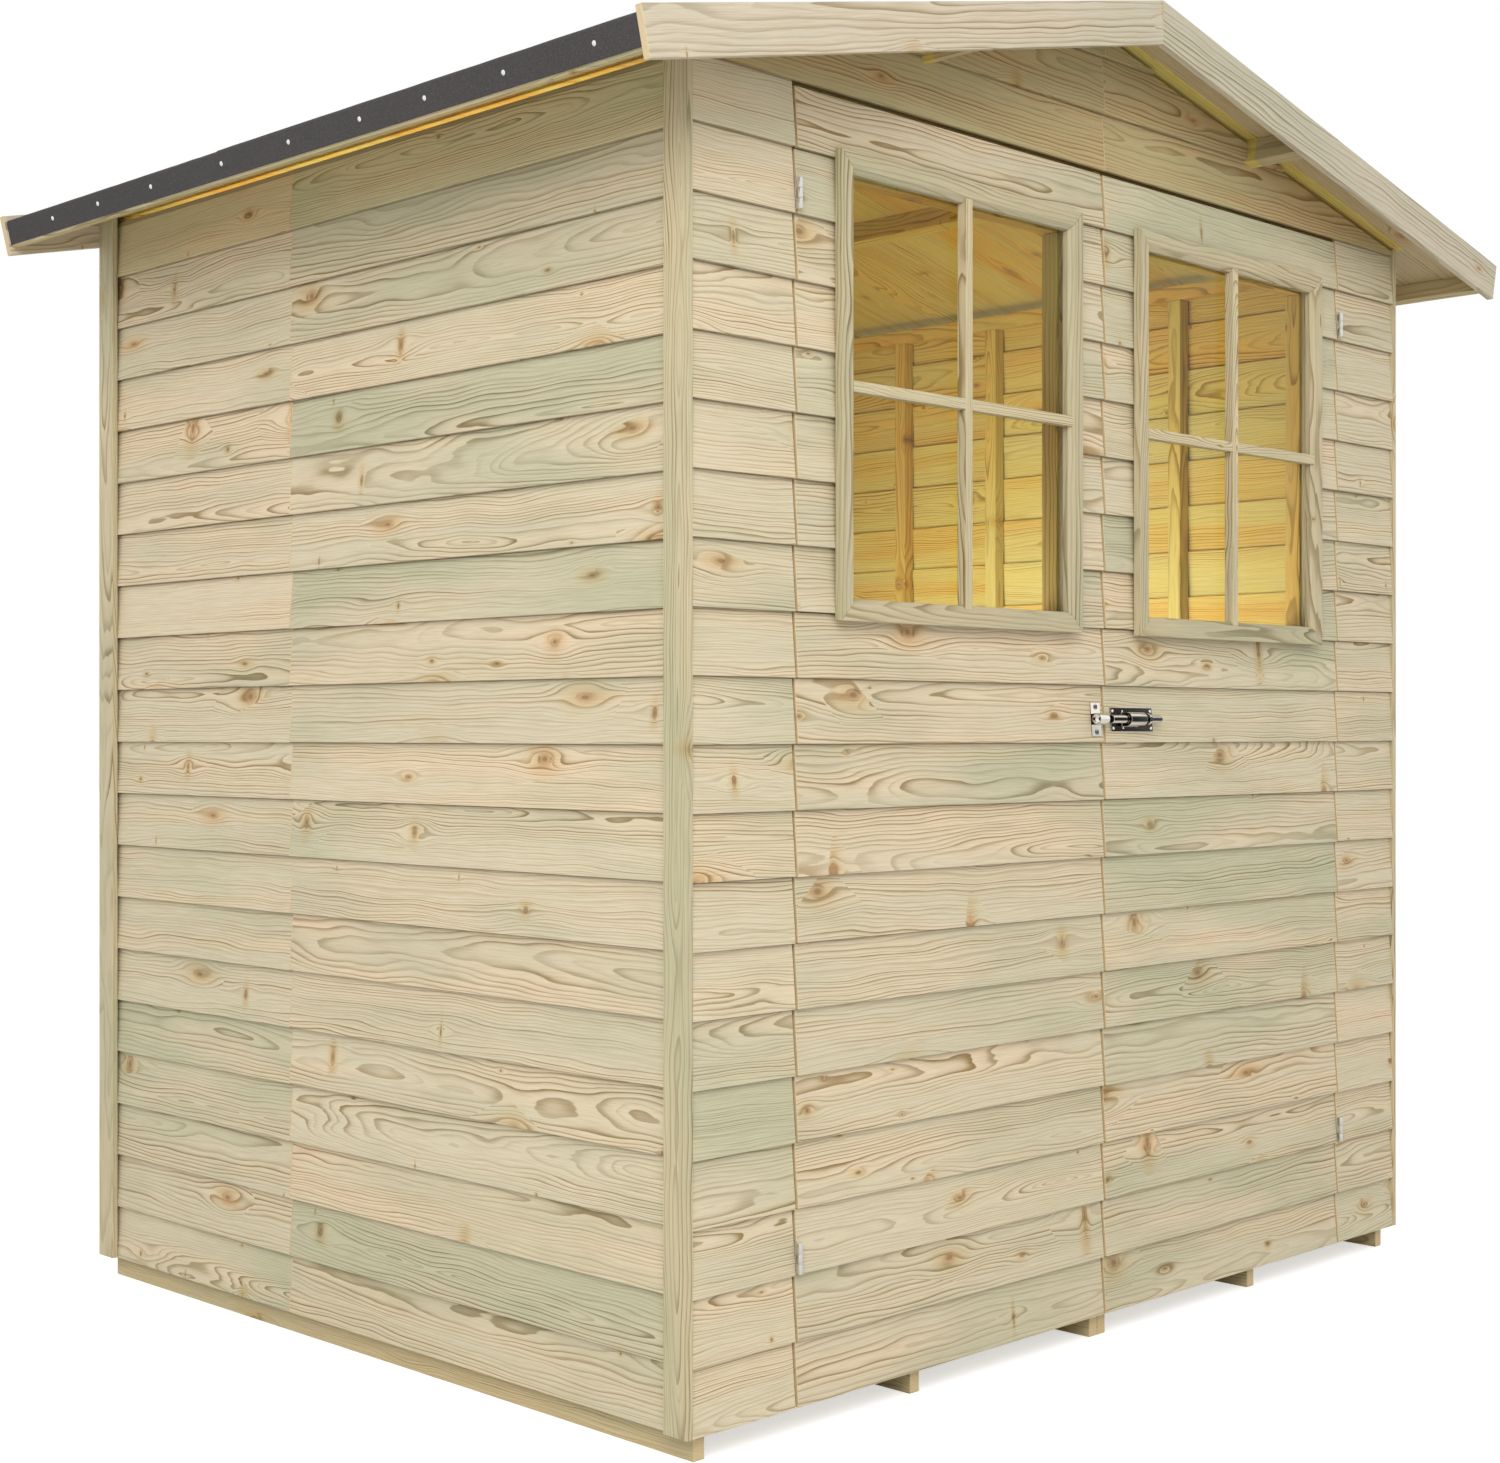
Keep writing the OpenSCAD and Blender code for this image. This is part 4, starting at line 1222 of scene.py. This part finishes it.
# %% [markdown]
# ## Hinges and bolt
# The steel keeps its CAD shape with eased edges, painted bright as wear and as painted highlights.
# The plate and keep lie on a leaning board, so their screws stand square to that lean.

# %% Ease the steel
ARRIS_STEEL = 0.0004
ironwork = (
    ("wall_hinge_leaves", "post_hinge_leaves", zinc, "shell", "worn"),
    ("left_door_hinge_leaves", "left_hinge_leaves", zinc, "left_door", "worn"),
    ("right_door_hinge_leaves", "right_hinge_leaves", zinc, "right_door", "worn"),
    ("bolt_keep", "keep", bolt_steel, "left_door", "front"),
    ("bolt_plate", "bolt_housing", bolt_steel, "right_door", "worn"),
    ("bolt", "sliding_bolt", bolt_steel, "bolt", "worn"),
)
# Arrises, and on the keep the front as well, take the bright paint: wear and painted highlight.
for seed, (node, name, finish, body, outer) in enumerate(ironwork, 81):
    lay_up(name, eased_timbers(node, seed, ARRIS_STEEL, outer=outer), finish, body, node, smooth=True)

# %% Screws of the bolt
BOLT_COURSE = 10
BOLT_UP = 0.036
PLATE_T = 0.0015
CORNER_IN = 0.0055
KEEP_IN = 0.0065
RIVET_ALONG = 0.28
KEEP_SHINE = 0.12
SLOT_LIE = Vector((1, 0, 0.1))
SEAT = Vector((0, LIP_FRONT + LEAN * BOLT_UP, FOOT + BOLT_COURSE * COVER + BOLT_UP))
SEAT_OUT = Vector((0, -1, LEAN)).normalized()
SEAT_UP = Vector((0, LEAN, 1)).normalized()
plate_low, plate_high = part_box("bolt_plate")
keep_low, keep_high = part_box("bolt_keep")


def on_plate(x, up):
    """A point on the face of the bolt's plate or keep: place along X, and height over the bolt's middle."""
    return SEAT + RIGHT * x + SEAT_UP * up + SEAT_OUT * (PLATE_T - SUNK)


plate_up = (plate_high.z - plate_low.z) / 2 - CORNER_IN
rivet_x = plate_low.x + RIVET_ALONG * (plate_high.x - plate_low.x)
shapes = []
for up in (plate_up, -plate_up):
    for x in (plate_low.x + CORNER_IN, plate_high.x - CORNER_IN):
        shapes.append(turned(on_plate(x, up), SEAT_OUT, radius=0.0030, height=0.0016))
    shapes.append(turned(on_plate(rivet_x, up), SEAT_OUT, radius=0.0018, height=0.0014))
heads("plate_screws", bolt_steel, "right_door", shapes)
keep_up = (keep_high.z - keep_low.z) / 2 - KEEP_IN
keep_x = (keep_low.x + keep_high.x) / 2
shapes = []
for up in (keep_up, -keep_up):
    shapes += slotted(on_plate(keep_x, up), SEAT_OUT, radius=0.0046, height=0.0024, lie=SLOT_LIE)
heads("keep_screws", bolt_steel, "left_door", shapes, KEEP_SHINE)

# %% [markdown]
# ## Panes
# A sheet of glass is flat, so the frame's own solids stay and only take the clear finish.

# %% Glaze the windows
for node in ("left_window_glass", "right_window_glass"):
    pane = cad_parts[node]
    pane.data.materials.clear()
    pane.data.materials.append(glass)
print("panes glazed")

# %% [markdown]
# ## Stage and light
# A white studio: a wide pale floor, an even sky all round and one large soft lamp over the camera's
# shoulder. Floor and sky look white to the camera by their own glow, so the lamps needn't be strong
# enough to make them so. Lamps inside light the room behind the windows, amber under the roof and
# white on the right wall. One lies along the left eave, where light leaks out over the boards.

# %% Floor
FLOOR_HALF = 30.0
FLOOR_GREY = (0.86, 0.86, 0.86, 1)
FLOOR_GLOW = 0.58
WHITE = (1, 1, 1, 1)
floor_mesh = bpy.data.meshes.new("floor")
floor_mesh.from_pydata([(-FLOOR_HALF, -FLOOR_HALF, 0), (FLOOR_HALF, -FLOOR_HALF, 0),
                        (FLOOR_HALF, FLOOR_HALF, 0), (-FLOOR_HALF, FLOOR_HALF, 0)], [], [(0, 1, 2, 3)])
floor = bpy.data.objects.new("floor", floor_mesh)
scene.collection.objects.link(floor)
pale, tree, surface = finish_of("pale_floor", 0.9)
surface.inputs["Base Color"].default_value = FLOOR_GREY
surface.inputs["Specular IOR Level"].default_value = 0.0
surface.inputs["Emission Color"].default_value = WHITE
seen = tree.nodes.new("ShaderNodeLightPath").outputs["Is Camera Ray"]
tree.links.new(times(tree, seen, FLOOR_GLOW), surface.inputs["Emission Strength"])
floor_mesh.materials.append(pale)
print(f"floor {2 * FLOOR_HALF:.0f} m wide")

# %% World
SKY = 0.76
world = bpy.data.worlds.new("studio")
world.use_nodes = True
scene.world = world
tree = world.node_tree
rays = tree.nodes.new("ShaderNodeLightPath").outputs
seen = sums(tree, "MAXIMUM", rays["Is Glossy Ray"], rays["Is Transmission Ray"])
seen = sums(tree, "MAXIMUM", rays["Is Camera Ray"], seen)
sky = tree.nodes["Background"].inputs
sky["Color"].default_value = WHITE
tree.links.new(ramped(tree, seen, 0.0, 1.0, SKY, 1.0, "LINEAR"), sky["Strength"])
print("sky at", SKY, "and white to the camera")

# %% Lamps
KEY_WHITE = (1.0, 0.98, 0.95)
AMBER_LIGHT = (1.0, 0.88, 0.55)
PLAIN_WHITE = (1, 1, 1)
WARM = (1.0, 0.96, 0.86)


def lamp(name, place, target, power, colour, size, spread=180, strip=None):
    """A soft square lamp, or a strip lamp of some length, that shines from a place at a target."""
    made = bpy.data.objects.new(name, bpy.data.lights.new(name, "AREA"))
    made.data.energy = power
    made.data.color = colour
    made.data.size = size
    made.data.spread = math.radians(spread)
    if strip:
        made.data.shape = "RECTANGLE"
        made.data.size = strip
        made.data.size_y = size
    made.location = place
    made.rotation_euler = (Vector(target) - Vector(place)).to_track_quat("-Z", "Y").to_euler()
    made.visible_camera = False
    made.visible_glossy = False
    made.visible_transmission = False
    scene.collection.objects.link(made)


lamp("key", (-4.6, -4.2, 4.2), (0, 0, 1.0), power=203, colour=KEY_WHITE, size=3.4)
lamp("room_low", (-0.1, 0.0, 0.3), (0.1, 0.1, 2.0), power=3.0, colour=AMBER_LIGHT, size=0.8, spread=110)
lamp("room_side", (-0.5, -0.2, 0.75), (0.88, 0.0, 0.9), power=8.2, colour=PLAIN_WHITE, size=0.8, spread=90)
lamp("room_eave", (-0.76, 0.05, 1.72), (-0.88, 0.05, 1.86), power=1.15, colour=WARM, size=0.05, spread=150,
     strip=1.3)
scene.view_settings.view_transform = "Standard"
